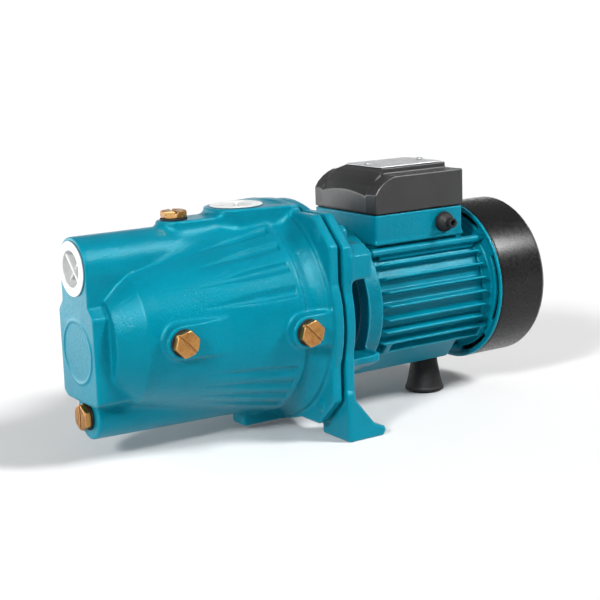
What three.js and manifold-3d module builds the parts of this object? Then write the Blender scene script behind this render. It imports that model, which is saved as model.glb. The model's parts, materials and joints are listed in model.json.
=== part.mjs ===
// Shallow well jet pump: a cast jet pump casing bolted to a lantern bracket, a finned
// single-phase motor behind it, a terminal box on top and a fan under a cover at the back.
// Millimetres, +Z up. The shaft runs along X, suction end at -X. While the pieces are made,
// x = 0 is the front of the casing's bolting flange; at the end everything moves so that the
// origin is under the middle of the rubber foot, on the floor.
import * as THREE from 'three';
import { mergeVertices } from 'three/addons/utils/BufferGeometryUtils.js';
import Module from 'manifold-3d';

const wasm = await Module();
wasm.setup();

// ---------------------------------------------------------------- driving dimensions
const gap = 0.3;                 // between pieces that touch
const shaftZ = 104.8;            // shaft axis above the floor

// Casing
const frontX = -192;             // machined face of the suction port
const noseBackX = -177.5;        // flat ring behind the nose block
const noseBackR = 45;
const coneFrontX = -156;         // crease where the long cone starts
const coneFrontR = 61;
const shoulderX = -22;           // end of the long cone
const shoulderR = 88.5;
const flangeT = 8.5;
const flangeR = 99.5;            // round part of the flange
const flangeHalfY = 93;          // flats of the square part
const flangeHalfZ = 91.7;
const flangeCut = 24.5;          // corner chamfer of the square part
const noseHalfY = 33.5;
const noseBottomZ = 53;
const noseShoulderZ = 129;
const suctionZ = 166.2;          // suction port axis
const suctionTubeR = 26.2;
const portBoreR = 19;            // about a 1 inch pipe thread
const dischargeX = -34;          // discharge port axis
const dischargeBossR = 28.5;
const platformZ = 202.3;         // top of the discharge platform
const fillingX = -96;
const fillingPadZ = 196.5;
const fillingPadR = 15.5;
const drainZ = 40;
const drainBossR = 20;
const drainFaceX = -186;
const sideFrontX = -131.2;       // side plug near the front
const sideFrontZ = 107;
const sideFrontFaceY = -72;
const sideRearX = -25.4;         // side plug beside the flange
const sideRearFaceY = -95.3;
const sideRearZ = 103.5;
const sideBossR = 14.2;
const padBottomZ = 5;            // pad under the casing

// Plugs
const plugAcrossFlats = 20.4;
const plugHeadH = 6;
const plugShankR = 8;
const plugBoreR = 8.5;
const washerR = 11.7;
const washerT = 1.5;
const transitRimR = 23.2;        // white transit plugs in both ports
const transitRimT = 1.6;

// Bracket
const bracketFrontX = 12.5;
const bracketPlateT = 8.5;
const bracketRingX0 = 55;
const bracketRingX1 = 72;
const bracketRingR = 70;
const bracketHalfY = 95;
const bracketR = 98.5;           // round part of the bracket plate
const windowHalfY = 38;          // openings between the bracket's arms
const windowHalfZ = 36;
const boltOffset = 74;           // casing bolts, from the shaft, both ways
const boltR = 4;
const footInnerY = 55.5;
const footOuterY = 97.4;
const footLength = 51.7;         // x of the toe
const footHoleX = 33;
const footHoleR = 5;
const bearingWebX = 60;          // back of the wall that closes the ring
const frontBearingR = 20;

// Motor
const housingFrontX = 73;
const housingBackX = 196.7;
const housingR = 58;
const housingBoreR = 54.8;
const spigotR = 54.2;            // bracket and end shield spigots in that bore
const finR = 66.5;
const finX0 = 82.5;
const finX1 = 196.5;
const finPitch = 11.25;          // degrees
const padX1 = 204.5;             // back end of the pad formed by the two lowest fins
const railR = 66;                // upper tie bolts and their rails, from the shaft
const keelHalfY = 15;
const keelBottomZ = 33.5;
const boxX0 = 80.7;              // terminal box
const boxX1 = 182.6;
const boxHalfY = 48.4;
const boxBottomZ = 157.9;
const boxTopZ = 184.7;
const boxWall = 3;
const lidFrontZ = 203.4;         // top of the lid's upright front
const lidSideTopZ = 218.9;
const lidStripZ = 224.2;
const lidStripHalfY = 29;
const shieldX = 203.6;           // rim of the rear end shield
const shieldR = 76.2;
const coverX1 = 261.5;
const coverR = 76;
const coverT = 2.2;
const glandX = 158.3;
const glandZ = 172;
const rubberFootX = 171.6;
const rubberFootR = 18.9;

// Rotor
const shaftR = 7;
const sealR = 14;
const impellerR = 60;
const coreX0 = 100;
const coreX1 = 166;
const rotorR = 27;
const fanR = 62;
const fanX0 = 216;

// Facets round a circle
const wide = 28;                 // flanges, housing, covers
const middle = 14;               // ports, bearings, wheels
const narrow = 10;               // bolts and small bores

// ---------------------------------------------------------------- solids
const degrees = Math.PI / 180;

// Any closed geometry becomes a solid; its faces are turned outward on the way.
function solid(geometry) {
  const bare = geometry.index ? geometry.toNonIndexed() : geometry.clone();
  bare.deleteAttribute('normal');
  bare.deleteAttribute('uv');
  const merged = mergeVertices(bare, 1e-4);
  const points = merged.getAttribute('position').array;
  const index = merged.getIndex().array;
  const corner = (i) => new THREE.Vector3(points[3 * i], points[3 * i + 1], points[3 * i + 2]);
  const triangles = [];
  let volume = 0;
  for (let i = 0; i < index.length; i += 3) {
    const [a, b, c] = [index[i], index[i + 1], index[i + 2]];
    if (a === b || b === c || c === a) continue;
    triangles.push(a, b, c);
    volume += corner(a).dot(corner(b).cross(corner(c)));
  }
  if (volume < 0) triangles.reverse();
  const mesh = new wasm.Mesh({
    numProp: 3,
    vertProperties: new Float32Array(points),
    triVerts: new Uint32Array(triangles),
  });
  return new wasm.Manifold(mesh);
}

const join = (first, ...others) => others.reduce((sum, one) => sum.add(one), first);
const cut = (first, ...others) => others.reduce((rest, one) => rest.subtract(one), first);

// ---------------------------------------------------------------- simple forms
function box(x0, x1, y0, y1, z0, z1) {
  const block = new THREE.BoxGeometry(x1 - x0, y1 - y0, z1 - z0);
  block.translate((x0 + x1) / 2, (y0 + y1) / 2, (z0 + z1) / 2);
  return solid(block);
}

// Axes of a drawing plane: drawing x, drawing y, extrusion.
const planes = {
  x: [new THREE.Vector3(0, 1, 0), new THREE.Vector3(0, 0, 1), new THREE.Vector3(1, 0, 0)],
  y: [new THREE.Vector3(1, 0, 0), new THREE.Vector3(0, 0, 1), new THREE.Vector3(0, 1, 0)],
  z: [new THREE.Vector3(1, 0, 0), new THREE.Vector3(0, 1, 0), new THREE.Vector3(0, 0, 1)],
};

// Extrudes a shape along an axis; the shape is drawn in the two other axes, in their order.
function extrude(shape, axis, from, to, curveSegments = 12) {
  const geometry = new THREE.ExtrudeGeometry(shape, {
    depth: to - from, bevelEnabled: false, curveSegments,
  });
  geometry.translate(0, 0, from);
  geometry.applyMatrix4(new THREE.Matrix4().makeBasis(...planes[axis]));
  return solid(geometry);
}

function polygon(points) {
  return new THREE.Shape(points.map(([a, b]) => new THREE.Vector2(a, b)));
}

function circle(a, b, radius) {
  const shape = new THREE.Shape();
  shape.absarc(a, b, radius, 0, 2 * Math.PI);
  return shape;
}

// Round bar along an axis; (a, b) is its centre in the two other axes, in their order.
function rod(axis, a, b, radius, from, to, sides = middle) {
  return extrude(circle(a, b, radius), axis, from, to, sides / 2);
}

// Turned piece about an axis along X at height z: the profile is [x, radius] pairs.
function turned(profile, segments = wide, y = 0, z = shaftZ) {
  const points = profile.map(([x, radius]) => new THREE.Vector2(radius, x));
  const geometry = new THREE.LatheGeometry(points, segments);
  geometry.rotateZ(-Math.PI / 2);
  geometry.translate(0, y, z);
  return solid(geometry);
}

// Ring about the shaft with a rectangular section.
function ring(x0, x1, inner, outer, segments = middle) {
  return turned([[x0, inner], [x1, inner], [x1, outer], [x0, outer], [x0, inner]], segments);
}

const disc = (x0, x1, radius, segments = middle) =>
  turned([[x0, 0], [x0, radius], [x1, radius], [x1, 0]], segments);

// Places a solid that was made for angle 0 (towards +Y) at other angles round the shaft.
function aroundShaft(make, angles) {
  return angles.map((angle) => {
    const radians = angle * degrees;
    const turn = new THREE.Matrix4().makeTranslation(0, 0, shaftZ)
      .multiply(new THREE.Matrix4().makeRotationX(radians))
      .multiply(new THREE.Matrix4().makeTranslation(0, 0, -shaftZ));
    return make().transform(turn.elements);
  });
}

const corners = [[-1, 1], [1, 1], [-1, -1], [1, -1]];

// ---------------------------------------------------------------- the assembly
const pump = new THREE.Group();

function add(name, piece, finish, parent = pump) {
  const { vertProperties, triVerts } = piece.getMesh();
  const geometry = new THREE.BufferGeometry();
  geometry.setAttribute('position', new THREE.BufferAttribute(vertProperties, 3));
  geometry.setIndex(new THREE.BufferAttribute(triVerts, 1));
  geometry.computeVertexNormals();
  const [color, roughness, metalness] = finish;
  const mesh = new THREE.Mesh(geometry, new THREE.MeshStandardMaterial({
    color, roughness, metalness,
  }));
  mesh.name = name;
  parent.add(mesh);
  return mesh;
}

const paint = [0x0096b4, 0.35, 0.1];
const brass = [0xc8965f, 0.35, 0.9];
const rubber = [0x1a1a1a, 0.8, 0];
const whitePlastic = [0xe8e8e6, 0.5, 0];
const blackPlastic = [0x333335, 0.5, 0];
const steel = [0xb0b4b8, 0.35, 0.9];
const zincSteel = [0xc8ccd0, 0.4, 0.8];
const laminations = [0x6a6e72, 0.55, 0.8];
const copper = [0xb06a3a, 0.4, 0.8];
const noryl = [0x2e3236, 0.6, 0];
const ceramic = [0xece8dc, 0.25, 0];
const carbon = [0x3a3a3c, 0.4, 0];
const aluminium = [0xc4c8cc, 0.4, 0.85];

// ---------------------------------------------------------------- flange outlines
// Square with cut corners joined to a circle, as the casing and bracket plates both are.
function squareFlange(x0, x1, halfY, halfZ, cornerCut, radius) {
  const outline = [];
  for (const [sy, sz] of [[1, 1], [-1, 1], [-1, -1], [1, -1]]) {
    const flat = [sy * halfY, shaftZ + sz * (halfZ - cornerCut)];
    const side = [sy * (halfY - cornerCut), shaftZ + sz * halfZ];
    outline.push(...(sy === sz ? [flat, side] : [side, flat]));
  }
  return join(extrude(polygon(outline), 'x', x0, x1), disc(x0, x1, radius, wide));
}

// Outline of the nose block: straight sides, rounded lower corners, shoulders to the port.
function noseOutline() {
  const round = 12;
  const shape = new THREE.Shape();
  shape.moveTo(noseHalfY, noseShoulderZ);
  shape.lineTo(suctionTubeR - 1, noseShoulderZ + 8);
  shape.lineTo(suctionTubeR - 1, suctionZ);
  shape.lineTo(1 - suctionTubeR, suctionZ);
  shape.lineTo(1 - suctionTubeR, noseShoulderZ + 8);
  shape.lineTo(-noseHalfY, noseShoulderZ);
  shape.lineTo(-noseHalfY, noseBottomZ + round);
  shape.quadraticCurveTo(-noseHalfY, noseBottomZ, round - noseHalfY, noseBottomZ);
  shape.lineTo(noseHalfY - round, noseBottomZ);
  shape.quadraticCurveTo(noseHalfY, noseBottomZ, noseHalfY, noseBottomZ + round);
  return shape;
}

// ---------------------------------------------------------------- pump casing
const nozzleSeatR = 11;
const suctionChamberR = 30;
const chamberFrontX = -168;
const partitionX0 = -140;        // wall between the suction and pressure chambers
const partitionX1 = -133;
const venturiR = 15.7;
const chamberBackR = 81.5;
const feedZ = shaftZ - 40;       // channel that feeds the nozzle
const dropX = -156;              // way down from the suction port to the nozzle

function casingOutside() {
  const body = turned([
    [noseBackX, 0], [noseBackX, noseBackR], [coneFrontX, coneFrontR],
    [shoulderX, shoulderR], [-12, 92.5], [0, 96], [flangeT, 96], [flangeT, 0],
  ]);
  const flange = squareFlange(0, flangeT, flangeHalfY, flangeHalfZ, flangeCut, flangeR);
  const nose = extrude(noseOutline(), 'x', frontX, noseBackX + 10, 4);
  const suctionTube = rod('x', 0, suctionZ, suctionTubeR, frontX, dischargeX, 28);
  const fillingPad = join(
    rod('z', fillingX, 0, fillingPadR, suctionZ, fillingPadZ),
    box(fillingX, -45, -fillingPadR, fillingPadR, suctionZ, fillingPadZ),
  );
  const dischargeBoss = rod('z', dischargeX, 0, dischargeBossR, 150, platformZ, 28);
  const platformOutline = polygon([
    [dischargeX, -dischargeBossR], [0, -36], [flangeT, -36], [flangeT, 36], [0, 36],
    [dischargeX, dischargeBossR],
  ]);
  const platform = extrude(platformOutline, 'z', 150, platformZ);
  const drainBoss = turned([
    [drainFaceX, 0], [drainFaceX, drainBossR], [-30, drainBossR + 3.5], [-30, 0],
  ], 24, 0, drainZ);
  const bottomPad = box(-41, flangeT, -11, 11, padBottomZ, 40);
  const frontBoss = join(
    rod('y', sideFrontX, sideFrontZ, sideBossR, sideFrontFaceY, -40),
    box(sideFrontX, -95, sideFrontFaceY, -40, sideFrontZ - sideBossR, sideFrontZ + sideBossR),
  );
  const rearBoss = join(
    rod('y', sideRearX, sideRearZ, sideBossR, sideRearFaceY, -60),
    box(sideRearX, 1, sideRearFaceY, -60, sideRearZ - sideBossR, sideRearZ + sideBossR),
  );
  const lugs = corners.map(([sy, sz]) =>
    rod('x', sy * boltOffset, shaftZ + sz * boltOffset, 5.5, -1.2, 4, narrow));
  return join(
    body, flange, nose, suctionTube, fillingPad, dischargeBoss, platform, drainBoss,
    bottomPad, frontBoss, rearBoss, ...lugs,
  );
}

function casingInside() {
  const pressureChamber = turned([
    [partitionX1, 0], [partitionX1, 59.5], [-48, 76.5], [shoulderX, chamberBackR],
    [flangeT + 1, chamberBackR], [flangeT + 1, 0],
  ]);
  const upperChamber = rod('x', 0, suctionZ - 3, 19, -124, dischargeX, 16);
  const suctionBore = rod('x', 0, suctionZ, portBoreR, frontX - 1, -136);
  const suctionDrop = rod('z', dropX, 0, 15, shaftZ, suctionZ, 16);
  const suctionChamber = disc(chamberFrontX, partitionX0, suctionChamberR);
  const venturiHole = disc(partitionX0 - 1, partitionX1 + 1, venturiR + gap, 16);
  const nozzleSeat = disc(-184, chamberFrontX + 1, nozzleSeatR, 16);
  const feedAlong = rod('x', 0, feedZ, 5, -180, partitionX1 + 1, 8);
  const feedUp = rod('z', -175, 0, 5, feedZ, shaftZ, 8);
  const dischargeBore = rod('z', dischargeX, 0, portBoreR, 150, platformZ + 1);
  const fillingBore = rod('z', fillingX, 0, plugBoreR, suctionZ, fillingPadZ + 1, narrow);
  const drainBore = rod('x', 0, drainZ, plugBoreR, drainFaceX - 1, -52, narrow);
  const frontGauge = rod('y', sideFrontX, sideFrontZ, plugBoreR, sideFrontFaceY - 1, -40, narrow);
  const rearGauge = rod('y', sideRearX, sideRearZ, plugBoreR, sideRearFaceY - 1, -70, narrow);
  const boltHoles = corners.map(([sy, sz]) =>
    rod('x', sy * boltOffset, shaftZ + sz * boltOffset, boltR + gap, 1.5, flangeT + 1, narrow));
  return [
    pressureChamber, upperChamber, suctionBore, suctionDrop, suctionChamber, venturiHole,
    nozzleSeat, feedAlong, feedUp, dischargeBore, fillingBore, drainBore, frontGauge,
    rearGauge, ...boltHoles,
  ];
}

add('pump_casing', cut(casingOutside(), ...casingInside()), paint);

// ---------------------------------------------------------------- plugs
// A hexagon outline with its flats facing the drawing's x axis.
function hexagon(acrossFlats) {
  const reach = acrossFlats / Math.sqrt(3);
  const points = [0, 1, 2, 3, 4, 5].map((k) => {
    const angle = (30 + 60 * k) * degrees;
    return [reach * Math.cos(angle), reach * Math.sin(angle)];
  });
  return polygon(points);
}

// Slotted hexagon plug, made along +Z with its washer's seat at z = 0.
function slottedPlug() {
  const headZ = gap + washerT + gap;
  const head = extrude(hexagon(plugAcrossFlats), 'z', headZ, headZ + plugHeadH);
  const shank = rod('z', 0, 0, plugShankR, -11, headZ + 1, narrow);
  const slot = box(-1, 1, -20, 20, headZ + plugHeadH - 2.2, headZ + plugHeadH + 1);
  return cut(join(head, shank), slot);
}

function plugWasher() {
  const outline = circle(0, 0, washerR);
  outline.holes.push(circle(0, 0, plugShankR + gap));
  return extrude(outline, 'z', gap, gap + washerT, 8);
}

// Direction of each plug as a rotation from +Z, then the turn of its slot.
const plugs = [
  ['filling_plug', [fillingX, 0, fillingPadZ], [0, 0, 0], 75],
  ['drain_plug', [drainFaceX, 0, drainZ], [0, -90, 0], 90],
  ['side_plug_front', [sideFrontX, sideFrontFaceY, sideFrontZ], [90, 0, 0], 45],
  ['side_plug_rear', [sideRearX, sideRearFaceY, sideRearZ], [90, 0, 0], 45],
];
for (const [name, seat, turn, slotTurn] of plugs) {
  const place = new THREE.Group();
  place.position.set(...seat);
  place.rotation.set(...turn.map((angle) => angle * degrees));
  pump.add(place);
  add(name, slottedPlug(), brass, place).rotation.z = slotTurn * degrees;
  add(`${name}_washer`, plugWasher(), rubber, place);
}

// White transit plug, made along +Z with its rim's underside at z = gap.
function transitPlug() {
  const bodyR = portBoreR - 2 * gap;
  const cupR = bodyR - 3.5;
  const rimTop = gap + transitRimT;
  const body = join(
    rod('z', 0, 0, transitRimR, gap, rimTop),
    rod('z', 0, 0, bodyR, -13, rimTop - 1),
  );
  const cup = rod('z', 0, 0, cupR, -10.5, rimTop + 1);
  const web = box(-1.2, 1.2, 0.5 - cupR - 1, cupR + 0.5, -11, rimTop - 3);
  return join(cut(body, cup), web);
}

for (const [name, seat, turn] of [
  ['suction_port_plug', [frontX, 0, suctionZ], [0, -90, 0]],
  ['discharge_port_plug', [dischargeX, 0, platformZ], [0, 0, 0]],
]) {
  const place = new THREE.Group();
  place.position.set(...seat);
  place.rotation.set(...turn.map((angle) => angle * degrees));
  pump.add(place);
  add(name, transitPlug(), whitePlastic, place).rotation.z = 45 * degrees;
}

// ---------------------------------------------------------------- jet and diffuser
add('nozzle', turned([
  [-183.7, 4.5], [-183.7, nozzleSeatR - gap], [-165, nozzleSeatR - gap], [-160, 9.5],
  [-146, 5.2], [-146, 3.2], [-156, 4.5], [-183.7, 4.5],
], 16), brass);

add('venturi_tube', turned([
  [-141, 13], [-141, venturiR], [-132.7, venturiR], [-132.7, 19], [-129, 19], [-129, 15],
  [-60, 15], [-48, 16.6], [-34, 16.6], [-34, 14], [-60, 12.5], [-105, 6.5], [-120, 6.5],
  [-141, 13],
], 16), noryl);

// Cup round the impeller with straight guide ribs on its front face.
function diffuser() {
  const cup = turned([
    [-46, 17.2], [-46, 30], [-41, 34], [-41, 76], [6, 76], [6, 70], [-8, 66], [-37, 66],
    [-37, 30], [-37, 17.2], [-46, 17.2],
  ], 24);
  const rib = () => box(-47, -40, 36, 74, shaftZ - 1.2, shaftZ + 1.2);
  return join(cup, ...aroundShaft(rib, [0, 60, 120, 180, 240, 300]));
}
add('diffuser', diffuser(), noryl);

// ---------------------------------------------------------------- impeller and seal
const impellerBackX = -10;

function impeller() {
  const backShroud = ring(impellerBackX - 3, impellerBackX, shaftR + gap, impellerR);
  const hub = ring(impellerBackX - 12, impellerBackX + 2, shaftR + gap, 13);
  const keyway = box(-22.5, impellerBackX + 3, -1.8, 1.8, shaftZ + 5, shaftZ + 9.3);
  const frontShroud = turned([
    [-33.5, 17.2], [-33.5, 20], [-27, 22], [-24, 30], [-20, impellerR], [-18, impellerR],
    [-21.5, 30], [-24, 17.2], [-33.5, 17.2],
  ], middle);
  const bladeOutline = polygon([[-23.2, 26], [-19, 59.5], [-11, 59.5], [-11, 26]]);
  const blade = () => extrude(bladeOutline, 'z', shaftZ - 9, shaftZ - 7);
  const blades = aroundShaft(blade, [0, 60, 120, 180, 240, 300]);
  return cut(join(backShroud, hub, frontShroud, ...blades), keyway);
}
add('impeller', impeller(), brass);

function impellerNut() {
  const outline = hexagon(15);
  outline.holes.push(circle(0, 0, 5 + gap));
  const nut = extrude(outline, 'x', -31, -22.3, 6);
  return nut.translate([0, 0, shaftZ]);
}
add('impeller_nut', impellerNut(), brass);
add('impeller_key', box(-21, -11, -1.5, 1.5, shaftZ + 4, shaftZ + 9), steel);

// Spring of the shaft seal: a helix about the shaft.
class SealHelix extends THREE.Curve {
  getPoint(t) {
    const angle = 2 * Math.PI * 2.5 * t;
    return new THREE.Vector3(
      -6.2 + 3.6 * t, 9.6 * Math.cos(angle), shaftZ + 9.6 * Math.sin(angle),
    );
  }
}

function sealSpring() {
  const wire = new THREE.Shape();
  wire.absarc(0, 0, 0.7, 0, 2 * Math.PI);
  return solid(new THREE.ExtrudeGeometry(wire, {
    steps: 30, curveSegments: 2, extrudePath: new SealHelix(),
  }));
}
add('seal_spring', sealSpring(), steel);
add('seal_head', ring(-1.4, 11.4, shaftR + gap, 12), carbon);
add('seal_seat', ring(11.7, 19.2, 8, sealR), ceramic);

// ---------------------------------------------------------------- bracket
const bracketPlateBackX = bracketFrontX + bracketPlateT;
const tieBoltR = 2.4;
const upperTie = railR * Math.SQRT1_2;
const tieBolts = [
  [-upperTie, shaftZ + upperTie], [upperTie, shaftZ + upperTie],
  [-9, 40.5], [9, 40.5],
];

function foot(side) {
  const profile = polygon([
    [bracketFrontX, 0], [footLength - 3, 0], [footLength, 4], [footLength - 1.5, 8],
    [46.4, 9.5], [40.3, 12], [bracketPlateBackX, 36], [bracketPlateBackX - 3, 44],
    [bracketFrontX, 44],
  ]);
  const [y0, y1] = side < 0 ? [-footOuterY, -footInnerY] : [footInnerY, footOuterY];
  const block = extrude(profile, 'y', y0, y1);
  const pocket = box(bracketPlateBackX, 45, y0 + 6, y1 - 6, 9.5, 50);
  const hole = rod('z', footHoleX, (y0 + y1) / 2, footHoleR, -1, 20, narrow);
  return cut(block, pocket, hole);
}

// The arms at the corners that carry the bearing ring: deep ones above, shallow ones below.
function bracketArm(sy, sz) {
  const upper = [[40, 38], [40, 56], [58, 65.5], [86, 65.5], [96, 57], [96, 38]];
  const lower = [[42, 34], [42, 50], [66, 50], [82, 42], [82, 34]];
  const outline = (sz > 0 ? upper : lower).map(([y, z]) => [sy * y, shaftZ + sz * z]);
  return extrude(polygon(outline), 'x', bracketPlateBackX - 1, sz > 0 ? 41 : 58);
}

// Bell from the plate to the ring, open at the sides, above and below.
function bracketBell() {
  const back = bracketPlateBackX;
  const shell = turned([
    [back - 1, 78], [back - 1, 95], [46, 84], [58, 68.5], [bracketRingX1, bracketRingR],
    [bracketRingX1, 56], [56, 56], [44, 70], [back - 1, 78],
  ]);
  const arms = corners.map(([sy, sz]) => bracketArm(sy, sz));
  const windows = [
    box(back, bracketRingX0, -120, 120, shaftZ - windowHalfZ, shaftZ + windowHalfZ),
    box(back, bracketRingX0, -windowHalfY, windowHalfY, -20, 230),
    box(back, bracketRingX0, -120, 120, -20, shaftZ - 50),
  ];
  const keel = box(back - 1, bracketRingX1, -keelHalfY, keelHalfY, keelBottomZ, 47);
  return join(cut(join(shell, ...arms), ...windows), keel);
}

// Wall inside the ring, with the front bearing's seat and the spigot of the motor housing.
function bearingWeb() {
  const seatR = frontBearingR + gap;
  const spigotX1 = housingFrontX + 5;
  return turned([
    [54, 12], [54, 26], [bearingWebX, 28], [bearingWebX, 60], [bracketRingX1, 60],
    [bracketRingX1, spigotR], [spigotX1, spigotR], [spigotX1, 50], [66, 50], [66, 26],
    [bracketRingX1, 26], [bracketRingX1, seatR], [58, seatR], [58, 12], [54, 12],
  ], 20);
}

function bracket() {
  const plate = squareFlange(
    bracketFrontX, bracketPlateBackX, bracketHalfY, flangeHalfZ, flangeCut + 2, bracketR,
  );
  const sealHub = disc(bracketFrontX + 1, 28, 24);
  const tieLugs = tieBolts.slice(0, 2).map(([y, z]) => rod('x', y, z, 6.5, 40, 72, narrow));
  const sealBore = disc(bracketFrontX - 1, 19.5, sealR + gap);
  const shaftHole = disc(19, 29, 9);
  const boltHoles = corners.map(([sy, sz]) =>
    rod('x', sy * boltOffset, shaftZ + sz * boltOffset, boltR + gap, 10, 25, narrow));
  const boltSeats = corners.map(([sy, sz]) =>
    rod('x', sy * boltOffset, shaftZ + sz * boltOffset, 9, bracketPlateBackX, 44, 8));
  const tieHoles = tieBolts.map(([y, z]) => rod('x', y, z, tieBoltR + gap, 45, 80, 8));
  return cut(
    join(plate, bracketBell(), bearingWeb(), sealHub, ...tieLugs, foot(-1), foot(1)),
    sealBore, shaftHole, ...boltHoles, ...boltSeats, ...tieHoles,
  );
}

add('casing_gasket', ring(flangeT + gap, bracketFrontX - gap, 82, 90, wide), rubber);
add('motor_bracket', bracket(), paint);

// Casing bolts go in from behind the bracket plate; made along -X from under the head.
function casingBolt() {
  const head = extrude(hexagon(13), 'x', gap, 5.8);
  return join(head, rod('x', 0, 0, boltR, -18, 1, narrow));
}
corners.forEach(([sy, sz], index) => {
  const bolt = add(`casing_bolt_${index + 1}`, casingBolt(), zincSteel);
  bolt.position.set(bracketPlateBackX, sy * boltOffset, shaftZ + sz * boltOffset);
});

// ---------------------------------------------------------------- rotor and bearings
function shaft() {
  const bar = turned([
    [-33, 0], [-33, 5], [-22, 5], [-22, shaftR], [34, shaftR], [34, 8.2], [84, 8.2], [84, 11],
    [186, 11], [186, 7.2], [214, 7.2], [214, 6.2], [243, 6.2], [243, 0],
  ], middle);
  return cut(bar, box(-21.3, -10.7, -1.8, 1.8, shaftZ + 3.7, shaftZ + 9));
}
add('shaft', shaft(), steel);
add('slinger', turned([
  [36, 8.5], [36, 14], [38, 22], [40, 22], [41, 8.5], [36, 8.5],
], middle), rubber);
add('front_bearing_inner_race', ring(58.5, 70.5, 8.5, 11.2), steel);
add('front_bearing_outer_race', ring(58.5, 70.5, 11.6, frontBearingR), steel);
add('rear_bearing_inner_race', ring(200, 211, 7.5, 10), steel);
add('rear_bearing_outer_race', ring(200, 211, 10.4, 17.5), steel);
add('wave_washer', ring(198.7, 199.6, 13.5, 17.3), steel);

function rotorCore() {
  const core = ring(coreX0, coreX1, 11.3, rotorR);
  const endRings = [[coreX0 - 7, coreX0 + 1], [coreX1 - 1, coreX1 + 7]];
  return join(core, ...endRings.map(([x0, x1]) => ring(x0, x1, 17, 25)));
}
add('rotor_core', rotorCore(), laminations);
add('stator_core', ring(coreX0 - 2, coreX1 + 2, rotorR + 0.6, housingBoreR - gap, wide), laminations);

const windingEnd = (x0, x1) => turned([
  [x0, 34], [x0 + 2, 32], [x1 - 2, 32], [x1, 34], [x1, 46], [x1 - 2, 49], [x0 + 2, 49],
  [x0, 46], [x0, 34],
], middle);
add('winding_front', windingEnd(80.5, coreX0 - 2 - gap), copper);
add('winding_rear', windingEnd(coreX1 + 2 + gap, 187), copper);

// ---------------------------------------------------------------- motor housing
const lidScrewX = [109, 170];
const lidScrewR = 2;
const finT = 2.2;
const padWallT = 6.5;
const padSeatR = 61.5;           // where the pad stands clear behind the housing's end

function sideFins() {
  const fin = (x1) => () => extrude(polygon([
    [finX0 - 7, housingR - 1.5], [finX0, finR], [x1, finR], [x1, padSeatR], [finX1, padSeatR],
    [finX1, housingR - 1.5],
  ]), 'z', shaftZ - finT / 2, shaftZ + finT / 2);
  const bothSides = (steps) => steps.flatMap((step) => [step * finPitch, 180 - step * finPitch]);
  return [
    ...aroundShaft(fin(padX1), bothSides([-4, -3])),
    ...aroundShaft(fin(finX1 + 0.01), bothSides([-2, -1, 0, 1, 2, 3])),
  ];
}

// End walls that close the space between the two lowest fins on each side.
function padWalls() {
  const at = (side, radius, angle) => [
    side * radius * Math.cos(angle * degrees), shaftZ + radius * Math.sin(angle * degrees),
  ];
  return [-1, 1].flatMap((side) => {
    const wallOutline = (inner) => polygon([
      at(side, inner, -3 * finPitch), at(side, finR, -3 * finPitch),
      at(side, finR, -4 * finPitch), at(side, inner, -4 * finPitch),
    ]);
    return [
      extrude(wallOutline(housingR - 1), 'x', finX0 + 3.5, finX0 + 3.5 + padWallT),
      extrude(wallOutline(padSeatR), 'x', padX1 - padWallT, padX1),
    ];
  });
}

function housing() {
  const tube = disc(housingFrontX, housingBackX, housingR, wide);
  const keel = extrude(polygon([
    [-50, shaftZ - 30], [-keelHalfY, keelBottomZ], [keelHalfY, keelBottomZ], [50, shaftZ - 30],
  ]), 'x', housingFrontX, 188);
  const rails = tieBolts.slice(0, 2).map(([y, z]) => join(
    rod('x', y, z, 4.2, finX0 + 3, housingBackX, narrow),
    box(finX0 + 3, housingBackX, Math.min(y, 0.8 * y), Math.max(y, 0.8 * y), z - 8, z),
  ));
  const terminalBox = box(boxX0, boxX1, -boxHalfY, boxHalfY, boxBottomZ, boxTopZ);
  const pedestal = box(boxX0 + 3, boxX1 - 2, -41, 41, shaftZ + 30, boxBottomZ + 1);
  const cavity = box(
    boxX0 + boxWall, boxX1 - boxWall, boxWall - boxHalfY, boxHalfY - boxWall, 165, boxTopZ + 1,
  );
  const pillars = lidScrewX.map((x) => rod('z', x, 0, 4.5, 164, boxTopZ, 8));
  const screwHoles = lidScrewX.map((x) => rod('z', x, 0, lidScrewR + gap, 166, 190, 8));
  const bore = disc(housingFrontX - 1, housingBackX + 1, housingBoreR, wide);
  const wireHole = rod('z', 176, 30, 5, 130, 170, 8);
  const glandHole = rod('y', glandX, glandZ, 6, -boxHalfY - 1, boxWall + 1 - boxHalfY, 16);
  const tieHoles = tieBolts.map(([y, z]) => rod('x', y, z, tieBoltR + gap, 70, 200, 8));
  const footHole = rod('z', rubberFootX, 0, 2.9, 30, 46, 8);
  const shell = join(
    tube, keel, ...rails, ...sideFins(), ...padWalls(), terminalBox, pedestal,
  );
  const hollow = cut(shell, cavity, bore);
  return cut(join(hollow, ...pillars), ...screwHoles, wireHole, glandHole, ...tieHoles, footHole);
}
add('motor_housing', housing(), paint);

const shieldWebX = 206;          // sunk face between the hub and the rim
const shieldBackX = 209.5;
const airSlotSpread = 17;        // degrees to each side of the slot's middle
const airSlotAngles = [-170, -120, -60, -10, 10, 70, 110, 170];

// Air slot of the end shield, through which the fan's air reaches the fins.
function airSlot(angle) {
  const outline = new THREE.Shape();
  const from = (angle - airSlotSpread) * degrees;
  const to = (angle + airSlotSpread) * degrees;
  outline.absarc(0, shaftZ, 70.2, from, to, false);
  outline.absarc(0, shaftZ, 66.2, to, from, true);
  return extrude(outline, 'x', shieldWebX - 1, shieldBackX + 1, 4);
}

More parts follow.
